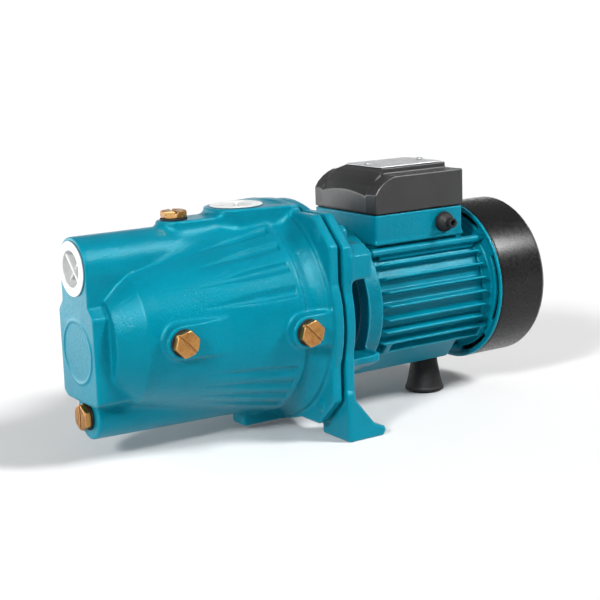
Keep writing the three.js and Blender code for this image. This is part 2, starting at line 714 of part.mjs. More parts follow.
function rearEndShield() {
  const rim = turned([
    [201, 22], [201, 50], [190, 50], [190, spigotR], [197, spigotR], [197, housingR],
    [200, 59], [shieldWebX, 60.5], [shieldWebX, 70.5], [shieldX, 74.5], [shieldX, shieldR],
    [206.3, shieldR], [206.3, 73.3], [213, 73.3], [213, 70.8], [shieldBackX, 70.8],
    [shieldBackX, 57], [206.5, 54], [206.5, 22], [201, 22],
  ]);
  const hub = turned([
    [194, 9], [194, 24], [212, 24], [212, 17.8], [198.4, 17.8], [198.4, 9], [194, 9],
  ], middle);
  const tieHoles = tieBolts.map(([y, z]) => rod('x', y, z, tieBoltR + gap, 190, 212, 8));
  return cut(join(rim, hub), ...airSlotAngles.map(airSlot), ...tieHoles);
}
add('rear_end_shield', rearEndShield(), paint);

tieBolts.forEach(([y, z], index) => {
  const bolt = join(
    rod('x', y, z, tieBoltR, 50, shieldBackX + 1, 8),
    rod('x', y, z, 4.2, shieldBackX + gap, shieldBackX + 4, narrow),
  );
  add(`tie_bolt_${index + 1}`, bolt, zincSteel);
});

// ---------------------------------------------------------------- fan and fan cover
function coolingFan() {
  const hub = ring(216, 240, 6.5, 14);
  const plate = ring(fanX0, fanX0 + 2.5, 13, 50);
  const blade = () => box(fanX0 + 1, 240, 13, fanR, shaftZ - 1.2, shaftZ + 1.2);
  return join(hub, plate, ...aroundShaft(blade, [0, 60, 120, 180, 240, 300]));
}
add('cooling_fan', coolingFan(), blackPlastic);

function fanCover() {
  const innerR = coverR - coverT;
  const shell = turned([
    [coverX1, 0], [coverX1, 69.5], [coverX1 - 1.3, 73.6], [coverX1 - 4.8, coverR],
    [206.6, coverR], [206.6, innerR], [coverX1 - 5.6, innerR], [coverX1 - 3, 72],
    [coverX1 - coverT, 69], [coverX1 - coverT, 0],
  ]);
  const slots = [];
  for (let angle = 0; angle < 360; angle += 22.5) {
    slots.push(angle);
  }
  const slot = () => box(coverX1 - 5, coverX1 + 1, 20, 64, shaftZ - 2.5, shaftZ + 2.5);
  return cut(shell, ...aroundShaft(slot, slots));
}
add('fan_cover', fanCover(), blackPlastic);

// ---------------------------------------------------------------- terminal box
// Side view of the lid's two cheeks, offset inward by a given amount.
function lidSideProfile(inset, bottomZ) {
  const x0 = boxX0 + inset;
  const x1 = boxX1 - inset;
  const top = lidSideTopZ - inset;
  return polygon([
    [x0, bottomZ], [x0, lidFrontZ], [x0 + 4.2, 209], [x0 + 9.9, 213.7], [x0 + 15.6, 216.9],
    [x0 + 21.5, top], [x1 - 3, top], [x1, top - 3], [x1, bottomZ],
  ].map(([x, z]) => [x, Math.min(z, top)]));
}

// Side view of the raised middle, which slopes down to the front.
function lidStripProfile(inset, bottomZ) {
  const top = lidStripZ - inset;
  return polygon([
    [boxX0 + inset, bottomZ], [boxX0 + inset, 205.6 - inset], [85.6 + inset, 212 - inset],
    [91.4 + inset, 217.2 - inset], [98.1, 221.3 - inset], [104.5, top], [176 - inset, top],
    [boxX1 - 5 - inset, 219 - inset], [boxX1 - 5 - inset, bottomZ],
  ]);
}

function terminalBoxLid() {
  const bottom = boxTopZ + 1.3;
  const outside = join(
    extrude(lidSideProfile(0, bottom), 'y', -boxHalfY, boxHalfY),
    extrude(lidStripProfile(0, 200), 'y', -lidStripHalfY, lidStripHalfY),
  );
  const inside = join(
    extrude(lidSideProfile(2.5, bottom - 1), 'y', 2.5 - boxHalfY, boxHalfY - 2.5),
    extrude(lidStripProfile(2.5, 200), 'y', 2.5 - lidStripHalfY, lidStripHalfY - 2.5),
  );
  const holes = lidScrewX.map((x) => rod('z', x, 0, lidScrewR + gap, 200, 230, 8));
  return cut(outside, inside, ...holes);
}
add('terminal_box_lid', terminalBoxLid(), blackPlastic);

const gasketZ = boxTopZ + gap;
add('lid_gasket', cut(
  box(boxX0 + 0.4, boxX1 - 0.4, 0.4 - boxHalfY, boxHalfY - 0.4, gasketZ, gasketZ + 0.7),
  box(boxX0 + 2.6, boxX1 - 2.6, 2.6 - boxHalfY, boxHalfY - 2.6, gasketZ - 1, gasketZ + 2),
), rubber);

const plateZ = lidStripZ + gap;
const plateT = 0.8;
add('nameplate', cut(
  box(103.5, 175.5, -27, 27, plateZ, plateZ + plateT),
  ...lidScrewX.map((x) => rod('z', x, 0, lidScrewR + gap, plateZ - 1, plateZ + 2, 8)),
), aluminium);

lidScrewX.forEach((x, index) => {
  const headZ = plateZ + plateT + gap;
  const shank = rod('z', x, 0, lidScrewR, 167, headZ + 1, 8);
  const head = rod('z', x, 0, 3.4, headZ, headZ + 2, narrow);
  const slot = box(x - 4, x + 4, -0.5, 0.5, headZ + 1, headZ + 3);
  add(`lid_screw_${index + 1}`, cut(join(shank, head), slot), zincSteel);
});

add('capacitor', rod('x', -22, 187, 17, 112, 168), aluminium);
function terminalBoard() {
  const board = box(118, 162, 12, 38, 165 + gap, 169);
  const posts = [126, 140, 154].map((x) => rod('z', x, 25, 2.5, 168, 176, 8));
  return join(board, ...posts);
}
add('terminal_board', terminalBoard(), noryl);

// Rubber gland, made along +Z from the outside of the box wall, then turned to -Y.
function glandBody() {
  const profile = [
    [-6, 2.4], [-6, 6.6], [-boxWall - gap, 6.6], [-boxWall - gap, 5.7], [gap, 5.7], [gap, 9.6],
    [3, 9.4], [6.5, 7.8], [9, 4.6], [15, 4.4], [15, 2.4], [-6, 2.4],
  ].map(([z, radius]) => new THREE.Vector2(radius, z));
  const geometry = new THREE.LatheGeometry(profile, 16);
  geometry.rotateX(Math.PI / 2);
  return solid(geometry);
}
const gland = add('cable_gland', glandBody(), rubber);
gland.position.set(glandX, -boxHalfY, glandZ);
gland.rotation.x = Math.PI / 2;

// ---------------------------------------------------------------- rubber foot
function rubberFoot() {
  const top = keelBottomZ - gap;
  const profile = [
    [0, 0], [0, rubberFootR - 1.5], [1.6, rubberFootR], [4, rubberFootR - 0.6], [30, 13],
    [top, 12.7], [top, 2.9], [14, 2.9], [14, 0],
  ].map(([z, radius]) => new THREE.Vector2(radius, z));
  const geometry = new THREE.LatheGeometry(profile, middle);
  geometry.rotateX(Math.PI / 2);
  geometry.translate(rubberFootX, 0, 0);
  return solid(geometry);
}
add('rubber_foot', rubberFoot(), rubber);
add('foot_stud', rod('z', rubberFootX, 0, 2.6, 14 + gap, 44, 8), zincSteel);

// The origin is under the middle of the rubber foot.
pump.position.x = -rubberFootX;

export default pump;
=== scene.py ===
import functools
import json
import math

import bmesh
import bpy
import numpy as np
from mathutils import Matrix, Vector


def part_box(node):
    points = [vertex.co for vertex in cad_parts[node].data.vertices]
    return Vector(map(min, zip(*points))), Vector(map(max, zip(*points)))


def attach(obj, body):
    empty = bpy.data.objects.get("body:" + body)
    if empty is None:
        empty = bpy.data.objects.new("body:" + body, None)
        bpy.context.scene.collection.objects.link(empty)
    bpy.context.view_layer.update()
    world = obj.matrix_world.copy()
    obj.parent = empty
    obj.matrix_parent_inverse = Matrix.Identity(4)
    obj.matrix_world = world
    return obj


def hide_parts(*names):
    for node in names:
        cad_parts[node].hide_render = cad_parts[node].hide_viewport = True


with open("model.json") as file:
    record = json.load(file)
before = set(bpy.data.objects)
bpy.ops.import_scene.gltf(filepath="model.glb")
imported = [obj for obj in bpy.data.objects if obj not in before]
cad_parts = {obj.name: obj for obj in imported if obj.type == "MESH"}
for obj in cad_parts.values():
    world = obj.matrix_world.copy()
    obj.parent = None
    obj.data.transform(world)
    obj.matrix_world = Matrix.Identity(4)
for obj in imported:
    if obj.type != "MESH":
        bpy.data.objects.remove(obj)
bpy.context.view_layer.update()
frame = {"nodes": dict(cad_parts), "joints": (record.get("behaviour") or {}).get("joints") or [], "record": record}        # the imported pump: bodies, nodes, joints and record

# A shallow well jet pump. The castings are fields of distance, in millimetres, that are turned
# into smooth meshes; turned pieces are revolved profiles. Millimetre positions along the shaft
# count from the front of the casing's bolting flange, as the drawing of such a pump does.
MM = 0.001

# ---- places taken from the frame
FLANGE_T = 8.5
FLANGE_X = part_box("pump_casing")[1].x / MM - FLANGE_T
FLANGE = np.array([FLANGE_X, 0.0, 0.0])
joint_of = {joint["child"]: joint for joint in frame["joints"]}
SHAFT_Z = joint_of["rotor"]["pos_m"][2] / MM


def node_box(node):
    """A CAD node's corners in drawing millimetres: x from the flange, y and z as in the row."""
    return [np.array(corner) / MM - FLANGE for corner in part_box(node)]


def middle(node):
    low, high = node_box(node)
    return (low + high) / 2


CAP_PROUD = 1.9  # a transit plug's height over its port
FRONT_X = node_box("pump_casing")[0][0]  # machined face of the suction port
SUCTION_Z = middle("suction_port_plug")[2]
DELIVERY_X = middle("discharge_port_plug")[0]
PLATFORM_Z = node_box("discharge_port_plug")[1][2] - CAP_PROUD
HOUSING_X0 = node_box("motor_housing")[0][0]
LID_Z0 = node_box("terminal_box_lid")[0][2]
CORNERS = [(-1, 1), (1, 1), (-1, -1), (1, -1)]
BOLT_OFFSET = 74.0  # casing bolts, across and up


def to_row(points):
    """Drawing millimetres to metres in the row frame."""
    return (np.asarray(points, float) + FLANGE) * MM


def from_shaft(y, z):
    """Height over the shaft and distance from its axis."""
    h = z - SHAFT_Z
    return h, np.hypot(y, h)


# ---- fields of distance
def soft_min(a, b, k):
    """Union of two solids with a fillet of about k."""
    h = np.clip(0.5 + 0.5 * (b - a) / k, 0, 1)
    return b + (a - b) * h - k * h * (1 - h)


def filleted(shape, *solids):
    """Adds solids to a shape in their order; each comes with the size of its fillet."""
    for solid, fillet in solids:
        shape = soft_min(shape, solid, fillet)
    return shape


def soft_max(a, b, k):
    """Where two solids overlap, with a fillet of about k."""
    return -soft_min(-a, -b, k)


def union(*fields):
    return functools.reduce(np.minimum, fields)


def crossing(a, b, radius):
    """Where two solids overlap, its edge an arc of the radius."""
    u = a + radius
    v = b + radius
    outside = np.sqrt(np.maximum(u, 0) ** 2 + np.maximum(v, 0) ** 2)
    return np.minimum(np.maximum(u, v), 0) + outside - radius


def slab(t, low, high):
    return np.abs(t - (low + high) / 2) - (high - low) / 2


def smooth_step(t):
    t = np.clip(t, 0, 1)
    return t * t * (3 - 2 * t)


def inset(points, radius):
    """A closed outline moved inward by a radius, so that a rounded offset gives it back."""
    p = np.array(points, float)
    area = np.sum(p[:, 0] * np.roll(p[:, 1], -1) - np.roll(p[:, 0], -1) * p[:, 1])
    if area < 0:
        p = p[::-1]
    along = np.roll(p, -1, 0) - p
    along /= np.linalg.norm(along, axis=1)[:, None]
    inward = np.stack([-along[:, 1], along[:, 0]], 1)
    before = np.roll(inward, 1, 0)
    bisector = before + inward
    return p + bisector * (radius / (1 + np.sum(before * inward, 1)))[:, None]


def outline(a, b, points, radius=0.0):
    """Distance to a closed outline in the (a, b) plane, its outer corners rounded."""
    p = inset(points, radius) if radius else np.array(points, float)
    nearest = np.float32(1e12)
    within = np.zeros(np.broadcast(a, b).shape, bool)
    for (a0, b0), (a1, b1) in zip(p, np.roll(p, -1, 0)):
        ea, eb = a1 - a0, b1 - b0
        wa, wb = a - a0, b - b0
        t = np.clip((wa * ea + wb * eb) / (ea * ea + eb * eb), 0, 1)
        nearest = np.minimum(nearest, (wa - ea * t) ** 2 + (wb - eb * t) ** 2)
        if abs(eb) > 1e-9:
            within = within ^ (((b0 > b) != (b1 > b)) & (a < ea * (b - b0) / eb + a0))
    return np.where(within, -1, 1) * np.sqrt(nearest) - radius


def bar(u, v, radius, t, low, high, edge=0.8):
    """Round bar: u and v from its axis, t along it."""
    return crossing(np.hypot(u, v) - radius, slab(t, low, high), edge)


def stadium(a, b, a0, a1, radius):
    """Distance to an obround from a0 to a1 along a."""
    return np.hypot(a - np.clip(a, a0, a1), b) - radius


def block(x, y, z, low, high, radius):
    q = [slab(t, l, h) + radius for t, l, h in zip((x, y, z), low, high)]
    outside = np.sqrt(sum(np.maximum(part, 0) ** 2 for part in q))
    return np.minimum(np.maximum(np.maximum(q[0], q[1]), q[2]), 0) + outside - radius


def cut(solid, tool, edge=0.6):
    return soft_max(solid, -tool, edge)


# ---- from fields to meshes
def linked(name, data):
    """A new object in the scene."""
    thing = bpy.data.objects.new(name, data)
    bpy.context.scene.collection.objects.link(thing)
    return thing


def mesh_object(name, vertices, faces):
    """New object from vertices in metres and faces with the same number of corners."""
    faces = np.asarray(faces, np.int32)
    mesh = bpy.data.meshes.new(name)
    mesh.vertices.add(len(vertices))
    mesh.vertices.foreach_set("co", np.asarray(vertices, np.float32).ravel())
    mesh.loops.add(faces.size)
    mesh.loops.foreach_set("vertex_index", faces.ravel())
    mesh.polygons.add(len(faces))
    starts = np.arange(0, faces.size, faces.shape[1], dtype=np.int32)
    mesh.polygons.foreach_set("loop_start", starts)
    mesh.update(calc_edges=True)
    mesh.validate()
    mesh.shade_smooth()
    return linked(name, mesh)


def settle(field, points, step):
    """Moves points onto the surface of the field, at most half a step each time."""
    nudge = 0.05 * step      # for the field's slope; a slope under 0.5 counts as 0.5
    for _ in range(3):
        x, y, z = points.T
        value = field(x, y, z)
        slope = np.stack([
            field(x + nudge, y, z) - value,
            field(x, y + nudge, z) - value,
            field(x, y, z + nudge) - value,
        ], 1) / nudge
        size = np.maximum(np.sum(slope ** 2, 1), 0.25)
        move = slope * (value / size)[:, None]
        length = np.maximum(np.linalg.norm(move, axis=1), 1e-9)
        move *= np.minimum(1, 0.5 * step / length)[:, None]
        points = points - move
    return points


def sampled(field, low, high, step):
    """Points and faces of a field's surface inside a box: one point for each cell that the
    surface crosses, and one face for each grid edge that it crosses."""
    # the grid goes two cells past the box, and its outer walls count as outside the solid
    axes = [np.arange(l - 2.3 * step, h + 2.7 * step, step) for l, h in zip(low, high)]
    x, y, z = [t.reshape([-1 if i == j else 1 for j in range(3)]) for i, t in enumerate(axes)]
    shape = tuple(len(t) for t in axes)
    value = np.broadcast_to(field(x, y, z), shape).astype(np.float32)
    for side in (value, value.swapaxes(0, 1), value.swapaxes(0, 2)):
        side[[0, -1]] = np.maximum(side[[0, -1]], step)
    inside = value < 0
    cells = tuple(n - 1 for n in shape)
    count = np.zeros(cells, np.int8)
    offsets = [(i, j, k) for i in (0, 1) for j in (0, 1) for k in (0, 1)]
    for i, j, k in offsets:
        count += inside[i:i + cells[0], j:j + cells[1], k:k + cells[2]]
    where = np.argwhere((count > 0) & (count < 8))
    number = np.full(cells, -1, np.int32)
    number[tuple(where.T)] = np.arange(len(where))
    total = np.zeros((len(where), 3))
    hits = np.zeros(len(where))
    for axis in range(3):
        for offset in offsets:
            if offset[axis]:
                continue
            start = where + offset
            end = start.copy()
            end[:, axis] += 1
            va, vb = value[tuple(start.T)], value[tuple(end.T)]
            crosses = (va < 0) != (vb < 0)
            t = np.where(crosses, va / np.where(crosses, va - vb, 1), 0)
            point = start.astype(float)
            point[:, axis] += t
            total += point * crosses[:, None]
            hits += crosses
    points = total / hits[:, None] * step + np.array([t[0] for t in axes])
    faces = []
    for axis in range(3):
        ahead = np.roll(inside, -1, axis)
        edges = inside != ahead
        edges[tuple(slice(-1, None) if i == axis else slice(None) for i in range(3))] = False
        start = np.argwhere(edges)
        b, c = (axis + 1) % 3, (axis + 2) % 3
        quad = []
        for db, dc in ((0, 0), (-1, 0), (-1, -1), (0, -1)):
            cell = start.copy()
            cell[:, b] += db
            cell[:, c] += dc
            quad.append(number[tuple(cell.T)])
        quad = np.stack(quad, 1)
        flip = ~inside[tuple(start.T)]
        quad[flip] = quad[flip][:, ::-1]
        faces.append(quad)
    return settle(field, points, step), np.concatenate(faces)


def placed(name, shape, seat, across, outward):
    """A sampled shape made at the origin along +Z, seated at a point with its z outward."""
    points, faces = shape
    turn = np.stack([across, np.cross(outward, across), outward])
    return mesh_object(name, to_row(points @ turn + seat), faces)


# ---- turned pieces
def rounded(points, radius):
    """An open profile with an arc of up to the radius in each inner corner."""
    p = [np.array(q, float) for q in points]
    out = [p[0]]
    for before, corner, after in zip(p, p[1:], p[2:]):
        back, ahead = before - corner, after - corner
        lb, la = np.linalg.norm(back), np.linalg.norm(ahead)
        back, ahead = back / lb, ahead / la
        angle = math.acos(np.clip(np.dot(back, ahead), -1, 1))
        if angle > 3.0:
            out.append(corner)
            continue
        reach = min(radius / math.tan(angle / 2), 0.45 * lb, 0.45 * la)
        for t in np.linspace(0, 1, 6):
            a = corner + back * reach * (1 - t)
            b = corner + ahead * reach * t
            out.append(a + (b - a) * t)
    out.append(p[-1])
    return out


def turned(name, profile, radius, segments, axis, centre):
    """Revolved closed profile of (along, distance from axis); centre is the axis' place in
    the two other directions. Where the profile ends on the axis the ends are closed there."""
    points = np.array(rounded(profile, radius))
    on_axis = points[0, 1] < 1e-6 and points[-1, 1] < 1e-6
    ring = points[1:-1] if on_axis else points[:-1]
    n, m = len(ring), segments
    angles = np.arange(m) * 2 * math.pi / m
    t = np.repeat(ring[:, 0], m)
    u = np.outer(ring[:, 1], np.cos(angles)).ravel()
    v = np.outer(ring[:, 1], np.sin(angles)).ravel()
    order = {"x": (t, u + centre[0], v + centre[1]), "z": (u + centre[0], v + centre[1], t)}
    order["y"] = (v + centre[0], t, u + centre[1])
    vertices = np.stack(order[axis], 1)
    rows = n - 1 if on_axis else n
    i, j = np.meshgrid(np.arange(rows), np.arange(m), indexing="ij")
    i2, j2 = (i + 1) % n, (j + 1) % m
    quads = np.stack([i * m + j, i * m + j2, i2 * m + j2, i2 * m + j], -1).reshape(-1, 4)
    piece = mesh_object(name, to_row(vertices), quads)
    return closed(piece, [range(m), range((n - 1) * m, n * m)] if on_axis else [])


def closed(piece, ends=()):
    """Puts a face on each end, turns all faces outward and keeps the sharp edges sharp."""
    mesh = bmesh.new()
    mesh.from_mesh(piece.data)
    mesh.verts.ensure_lookup_table()
    for end in ends:
        mesh.faces.new([mesh.verts[i] for i in end])
    bmesh.ops.recalc_face_normals(mesh, faces=mesh.faces[:])
    mesh.to_mesh(piece.data)
    mesh.free()
    shade(piece, 38)
    return piece


def shade(piece, sharp_degrees):
    piece.data.shade_smooth()
    piece.data.set_sharp_from_angle(angle=math.radians(sharp_degrees))


# ---- materials
class Nodes:
    """A material under construction: short names for the nodes that the materials share."""

    def __init__(self, name, **values):
        self.material = bpy.data.materials.new(name)
        self.material.use_nodes = True
        self.tree = self.material.node_tree
        self.shader = self.tree.nodes["Principled BSDF"]
        for socket, value in values.items():
            self.shader.inputs[socket.replace("_", " ")].default_value = value
        self.place = self.new("ShaderNodeTexCoord").outputs["Object"]

    def new(self, kind, inputs=(), **settings):
        """A node; each of its inputs gets a number or is linked to another node's output."""
        node = self.tree.nodes.new(kind)
        for key, value in settings.items():
            setattr(node, key, value)
        for socket, value in dict(inputs).items():
            if isinstance(value, bpy.types.NodeSocket):
                self.tree.links.new(value, node.inputs[socket])
            else:
                node.inputs[socket].default_value = value
        return node

    def stretched(self, scale):
        inputs = {"Scale": scale, "Vector": self.place}
        return self.new("ShaderNodeMapping", inputs).outputs["Vector"]

    def noise(self, scale, detail=2.0, rough=0.5, place=None):
        inputs = {"Scale": scale, "Detail": detail, "Roughness": rough,
                  "Vector": place or self.place}
        return self.new("ShaderNodeTexNoise", inputs).outputs["Fac"]

    def cells(self, scale):
        inputs = {"Scale": scale, "Vector": self.place}
        return self.new("ShaderNodeTexVoronoi", inputs).outputs["Distance"]

    def ramp(self, value, low, high, start=0.0, end=1.0):
        """Maps low..high of a value to start..end, kept inside them."""
        inputs = {"Value": value, "From Min": low, "From Max": high, "To Min": start,
                  "To Max": end}
        return self.new("ShaderNodeMapRange", inputs, clamp=True).outputs["Result"]

    def mix(self, amount, a, b):
        a, b = (color + (1,) if isinstance(color, tuple) else color for color in (a, b))
        node = self.new("ShaderNodeMix", {"Factor": amount, 6: a, 7: b}, data_type="RGBA")
        return node.outputs[2]

    def patches(self, value, low, high, a, b):
        """Colour a where the value is low and b where it is high."""
        return self.mix(self.ramp(value, low, high), a, b)

    def edge_wear_and_highlight(self, low, high, most):
        """0 on flat surfaces, up to most on sharp outer edges: rubbed metal on the brass plugs, a
        painted edge highlight on the cast paint.
        """
        edges = self.new("ShaderNodeNewGeometry").outputs["Pointiness"]
        return self.ramp(edges, low, high, 0, most)

    def feed(self, socket, source):
        self.tree.links.new(source, self.shader.inputs[socket])

    def color(self, source):
        self.feed("Base Color", source)

    def roughness(self, value, low, high):
        self.feed("Roughness", self.ramp(value, 0.3, 0.7, low, high))

    def bump(self, *layers):
        """Each layer is (height, strength, depth in metres); they add up."""
        below = {}
        for height, strength, depth in layers:
            inputs = {"Strength": strength, "Distance": depth, "Height": height, **below}
            below = {"Normal": self.new("ShaderNodeBump", inputs).outputs["Normal"]}
        self.feed("Normal", below["Normal"])
        self.feed("Coat Normal", below["Normal"])


def cast_paint():
    """Gloss teal paint that follows the grains of a sand casting."""
    n = Nodes("cast_paint", Metallic=0.0, IOR=1.5, Specular_IOR_Level=0.4, Coat_Weight=0.09,
              Coat_Roughness=0.1)
    n.shader.inputs["Specular Tint"].default_value = (0.0, 0.5, 0.65, 1)
    tone = n.noise(28, 3)
    speck = n.noise(900, 2)
    base = n.patches(tone, 0.3, 0.7, (0.0, 0.146, 0.212), (0.0, 0.174, 0.248))
    base = n.mix(n.ramp(speck, 0.58, 0.75, 0, 0.5), base, (0.0, 0.20, 0.28))
    # sharp outer edges are painted a lighter teal: a painted edge highlight
    n.color(n.mix(n.edge_wear_and_highlight(0.52, 0.62, 0.45), base, (0.0, 0.30, 0.40)))
    n.roughness(n.noise(420, 3), 0.28, 0.40)
    sand = n.noise(620, 3, 0.6)
    swell = n.noise(120, 2)
    grains = n.ramp(n.cells(520), 0.0, 0.55)
    n.bump((swell, 0.35, 0.0007), (sand, 0.6, 0.0006), (grains, 0.18, 0.0004))
    return n.material


def black_plastic(name="black_plastic", tone=0.012, gloss=0.34, shine=0.5, grain=1.0):
    n = Nodes(name, Metallic=0.0, IOR=1.48, Specular_IOR_Level=shine)
    pale = (1.5 * tone, 1.5 * tone, 1.55 * tone)
    n.color(n.patches(n.noise(35, 3), 0.3, 0.7, (tone, tone, 1.06 * tone), pale))
    n.roughness(n.noise(260, 4), gloss, gloss + 0.08)
    n.bump((n.noise(1500, 2), 0.25 * grain, 0.00015), (n.noise(420, 3), 0.3 * grain, 0.0002))
    return n.material


def brass():
    n = Nodes("brass", Metallic=1.0)
    stain = n.ramp(n.noise(180, 4, 0.6), 0.4, 0.68)
    base = n.mix(stain, (0.46, 0.225, 0.07), (0.30, 0.135, 0.04))
    n.color(n.mix(n.edge_wear_and_highlight(0.5, 0.58, 0.6), base, (0.72, 0.43, 0.18)))
    n.roughness(n.noise(700, 3), 0.24, 0.42)
    n.bump((n.noise(900, 3), 0.25, 0.0001), (n.cells(300), 0.12, 0.0002))
    return n.material


def white_plastic():
    n = Nodes("white_plastic", Metallic=0.0, IOR=1.5, Subsurface_Weight=0.05,
              Subsurface_Scale=0.003)
    n.shader.inputs["Subsurface Radius"].default_value = (1.0, 0.95, 0.9)
    n.color(n.patches(n.noise(60, 3), 0.35, 0.7, (0.62, 0.625, 0.62), (0.55, 0.56, 0.555)))
    n.roughness(n.noise(300, 3), 0.32, 0.46)
    n.bump((n.noise(1200, 2), 0.2, 0.0001), (n.noise(90, 2), 0.12, 0.0004))
    return n.material


def rubber(name="rubber", tone=1.0):
    n = Nodes(name, Metallic=0.0, IOR=1.45, Specular_IOR_Level=0.3)
    dust = n.ramp(n.noise(70, 4, 0.6), 0.5, 0.8)
    dark = tuple(tone * c for c in (0.006, 0.006, 0.0065))
    n.color(n.mix(dust, dark, (0.018, 0.018, 0.019)))
    n.roughness(n.noise(400, 3), 0.5, 0.72)
    n.bump((n.noise(1100, 3), 0.3, 0.0002), (n.noise(150, 2), 0.15, 0.0003))
    return n.material


def plated_steel(name="zinc_steel", color=(0.62, 0.63, 0.65), rough=0.28, brushed=None):
    """Metal with fine wear; brushed is the stretch of its lines along x, y and z."""
    n = Nodes(name, Metallic=1.0)
    dim = tuple(0.72 * c for c in color)
    n.color(n.patches(n.noise(220, 4, 0.6), 0.35, 0.75, color, dim))
    lines = n.noise(1.0, 4, 0.6, n.stretched(brushed)) if brushed else n.noise(900, 3)
    n.roughness(lines, rough, rough + 0.16)
    n.bump((lines, 0.18, 0.00008), (n.noise(350, 3), 0.1, 0.0002))
    return n.material


def laminations():
    """Edges of stacked sheets, half a millimetre each, along the shaft."""
    n = Nodes("laminations", Metallic=0.9)
    wave = n.new("ShaderNodeTexWave", {"Scale": 320, "Vector": n.place}, wave_type="BANDS",
                 bands_direction="X").outputs["Fac"]
    n.color(n.mix(wave, (0.16, 0.165, 0.17), (0.34, 0.345, 0.35)))
    n.roughness(n.noise(300, 3), 0.4, 0.6)
    n.bump((wave, 0.3, 0.0001))
    return n.material


def copper_winding():
    n = Nodes("copper", Metallic=0.85, Coat_Weight=0.4)
    wire = n.noise(1.0, 2, 0.5, n.stretched((1400, 220, 220)))
    n.color(n.patches(wire, 0.35, 0.65, (0.28, 0.10, 0.035), (0.62, 0.27, 0.12)))
    n.roughness(n.noise(300, 2), 0.3, 0.5)
    n.bump((wire, 0.6, 0.0004))
    return n.material


def ceramic():
    n = Nodes("ceramic", Metallic=0.0, IOR=1.6)
    n.color(n.mix(n.noise(150, 3), (0.82, 0.80, 0.74), (0.74, 0.71, 0.64)))
    n.roughness(n.noise(500, 3), 0.12, 0.25)
    n.bump((n.noise(900, 2), 0.1, 0.0001))
    return n.material


def stage_floor():
    n = Nodes("floor", Metallic=0.0, Specular_IOR_Level=0.1)
    n.color(n.mix(n.noise(3, 3), (0.70, 0.70, 0.70), (0.72, 0.72, 0.72)))
    n.roughness(n.noise(20, 3), 0.7, 0.85)
    return n.material


slots = {
    "cast_paint": cast_paint(),
    "black_plastic": black_plastic(),
    "white_plastic": white_plastic(),
    "brass": brass(),
    "rubber": rubber(),
    "zinc_steel": plated_steel(),
    "steel": plated_steel("steel", (0.56, 0.57, 0.58), 0.2, (120, 2600, 2600)),
    "laminations": laminations(),
    "copper": copper_winding(),
    "noryl": black_plastic("noryl", 0.02, 0.45),
    "ceramic": ceramic(),
    "carbon": rubber("carbon", 3.0),
    "aluminium": plated_steel("aluminium", (0.66, 0.67, 0.68), 0.3, (60, 2400, 2400)),
}
slot_of = {row["node"]: row["material_slot"] for row in frame["record"]["subparts"]}
body_of = {node: body for body, nodes in frame["record"]["behaviour"]["bodies"].items()
           for node in nodes}


def finish_piece(piece, node, material=None):
    """The piece stands for a CAD node: it rides with it and takes its material slot."""
    piece.data.materials.clear()
    piece.data.materials.append(material or slots[slot_of[node]])
    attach(piece, body_of[node])
    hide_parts(node)


def field_piece(name, node, field, step, material=None):
    """A piece with the surface of a field, in the place of one CAD node."""
    points, faces = sampled(field, *node_box(node), step)
    finish_piece(mesh_object(name, to_row(points), faces), node, material)


# ---- pump casing
NOSE_BACK_X, NOSE_BACK_R = -177.5, 45.0
CONE_X, CONE_R = -156.0, 61.0
SHOULDER_X, SHOULDER_R = -22.0, 88.5
TUBE_R, PORT_R, PLUG_R = 26.2, 19.0, 8.5
NOSE_HALF_Y = 33.5
DRAIN_FACE_X, DRAIN_Z = -186.0, 40.0
FILLING_X, PAD_TOP_Z = -96.0, 196.5
SIDE_FRONT = (-131.2, 107.0, -72.0)  # x, z, and y of the face
SIDE_REAR = (-25.4, 103.5, -95.3)
SIDE_BOSS_R = 14.2


def square_flange(y, z, half_y, half_z, corner, radius):
    """A square with cut corners over a disc, as seen along the shaft."""
    h, r = from_shaft(y, z)
    points = [(-half_y, -half_z), (half_y, -half_z), (half_y, half_z - corner),
              (half_y - corner, half_z), (-half_y, half_z)]
    return np.minimum(outline(np.abs(y), np.abs(h), points, 3.0), r - radius)


def casing_body(x, y, z):
    """The cone, its shoulder and the hollow-sided band in front of the flange."""
    r = from_shaft(y, z)[1]
    profile = [(NOSE_BACK_X, -30), (NOSE_BACK_X, NOSE_BACK_R), (CONE_X, CONE_R),
               (SHOULDER_X, SHOULDER_R), (-20.8, SHOULDER_R - 2.1), (-14.5, 87.8), (-9, 90.6),
               (-5.4, 93.6), (-4, 95.4), (FLANGE_T, 95.4), (FLANGE_T, -30)]
    return outline(x, r, profile, 0.9)


def cone_grooves(x, y, z):
    """Shallow sunk lines that run back along the cone and end before the flange."""
    h, r = from_shaft(y, z)
    angle = np.degrees(np.arctan2(h, np.abs(y)))
    surface_r = CONE_R + (x - CONE_X) * (SHOULDER_R - CONE_R) / (SHOULDER_X - CONE_X)
    start, end = -105.0, -27.0
    size = 0.2 + 1.9 * smooth_step((x - start) / 55)
    ends = np.maximum(x - end, start - x)
    nearest = np.float32(1e6)
    for groove in (64.5, 50.5, 36.5, 21.5, -25.0, -35.0, -45.0, -56.0):
        across = np.radians(angle - groove) * r
        nearest = np.minimum(nearest, np.hypot(across * 0.5, r - surface_r))
    return np.maximum(nearest - size, ends)


def nose(x, y, z):
    w = NOSE_HALF_Y
    t = TUBE_R - 1
    points = [(w, 57), (w, 128), (t, 137), (t, SUCTION_Z), (-t, SUCTION_Z), (-t, 137), (-w, 128),
              (-w, 57), (7 - w, 53), (w - 7, 53)]
    return crossing(outline(y, z, points, 4.0), slab(x, FRONT_X, -150), 1.6)


def side_boss(x, y, z, place, back_x, inner_y):
    px, pz, face_y = place
    round_end = np.maximum(stadium(x, z - pz, px, back_x, SIDE_BOSS_R), x - back_x)
    return crossing(round_end, slab(y, face_y, inner_y), 1.5)


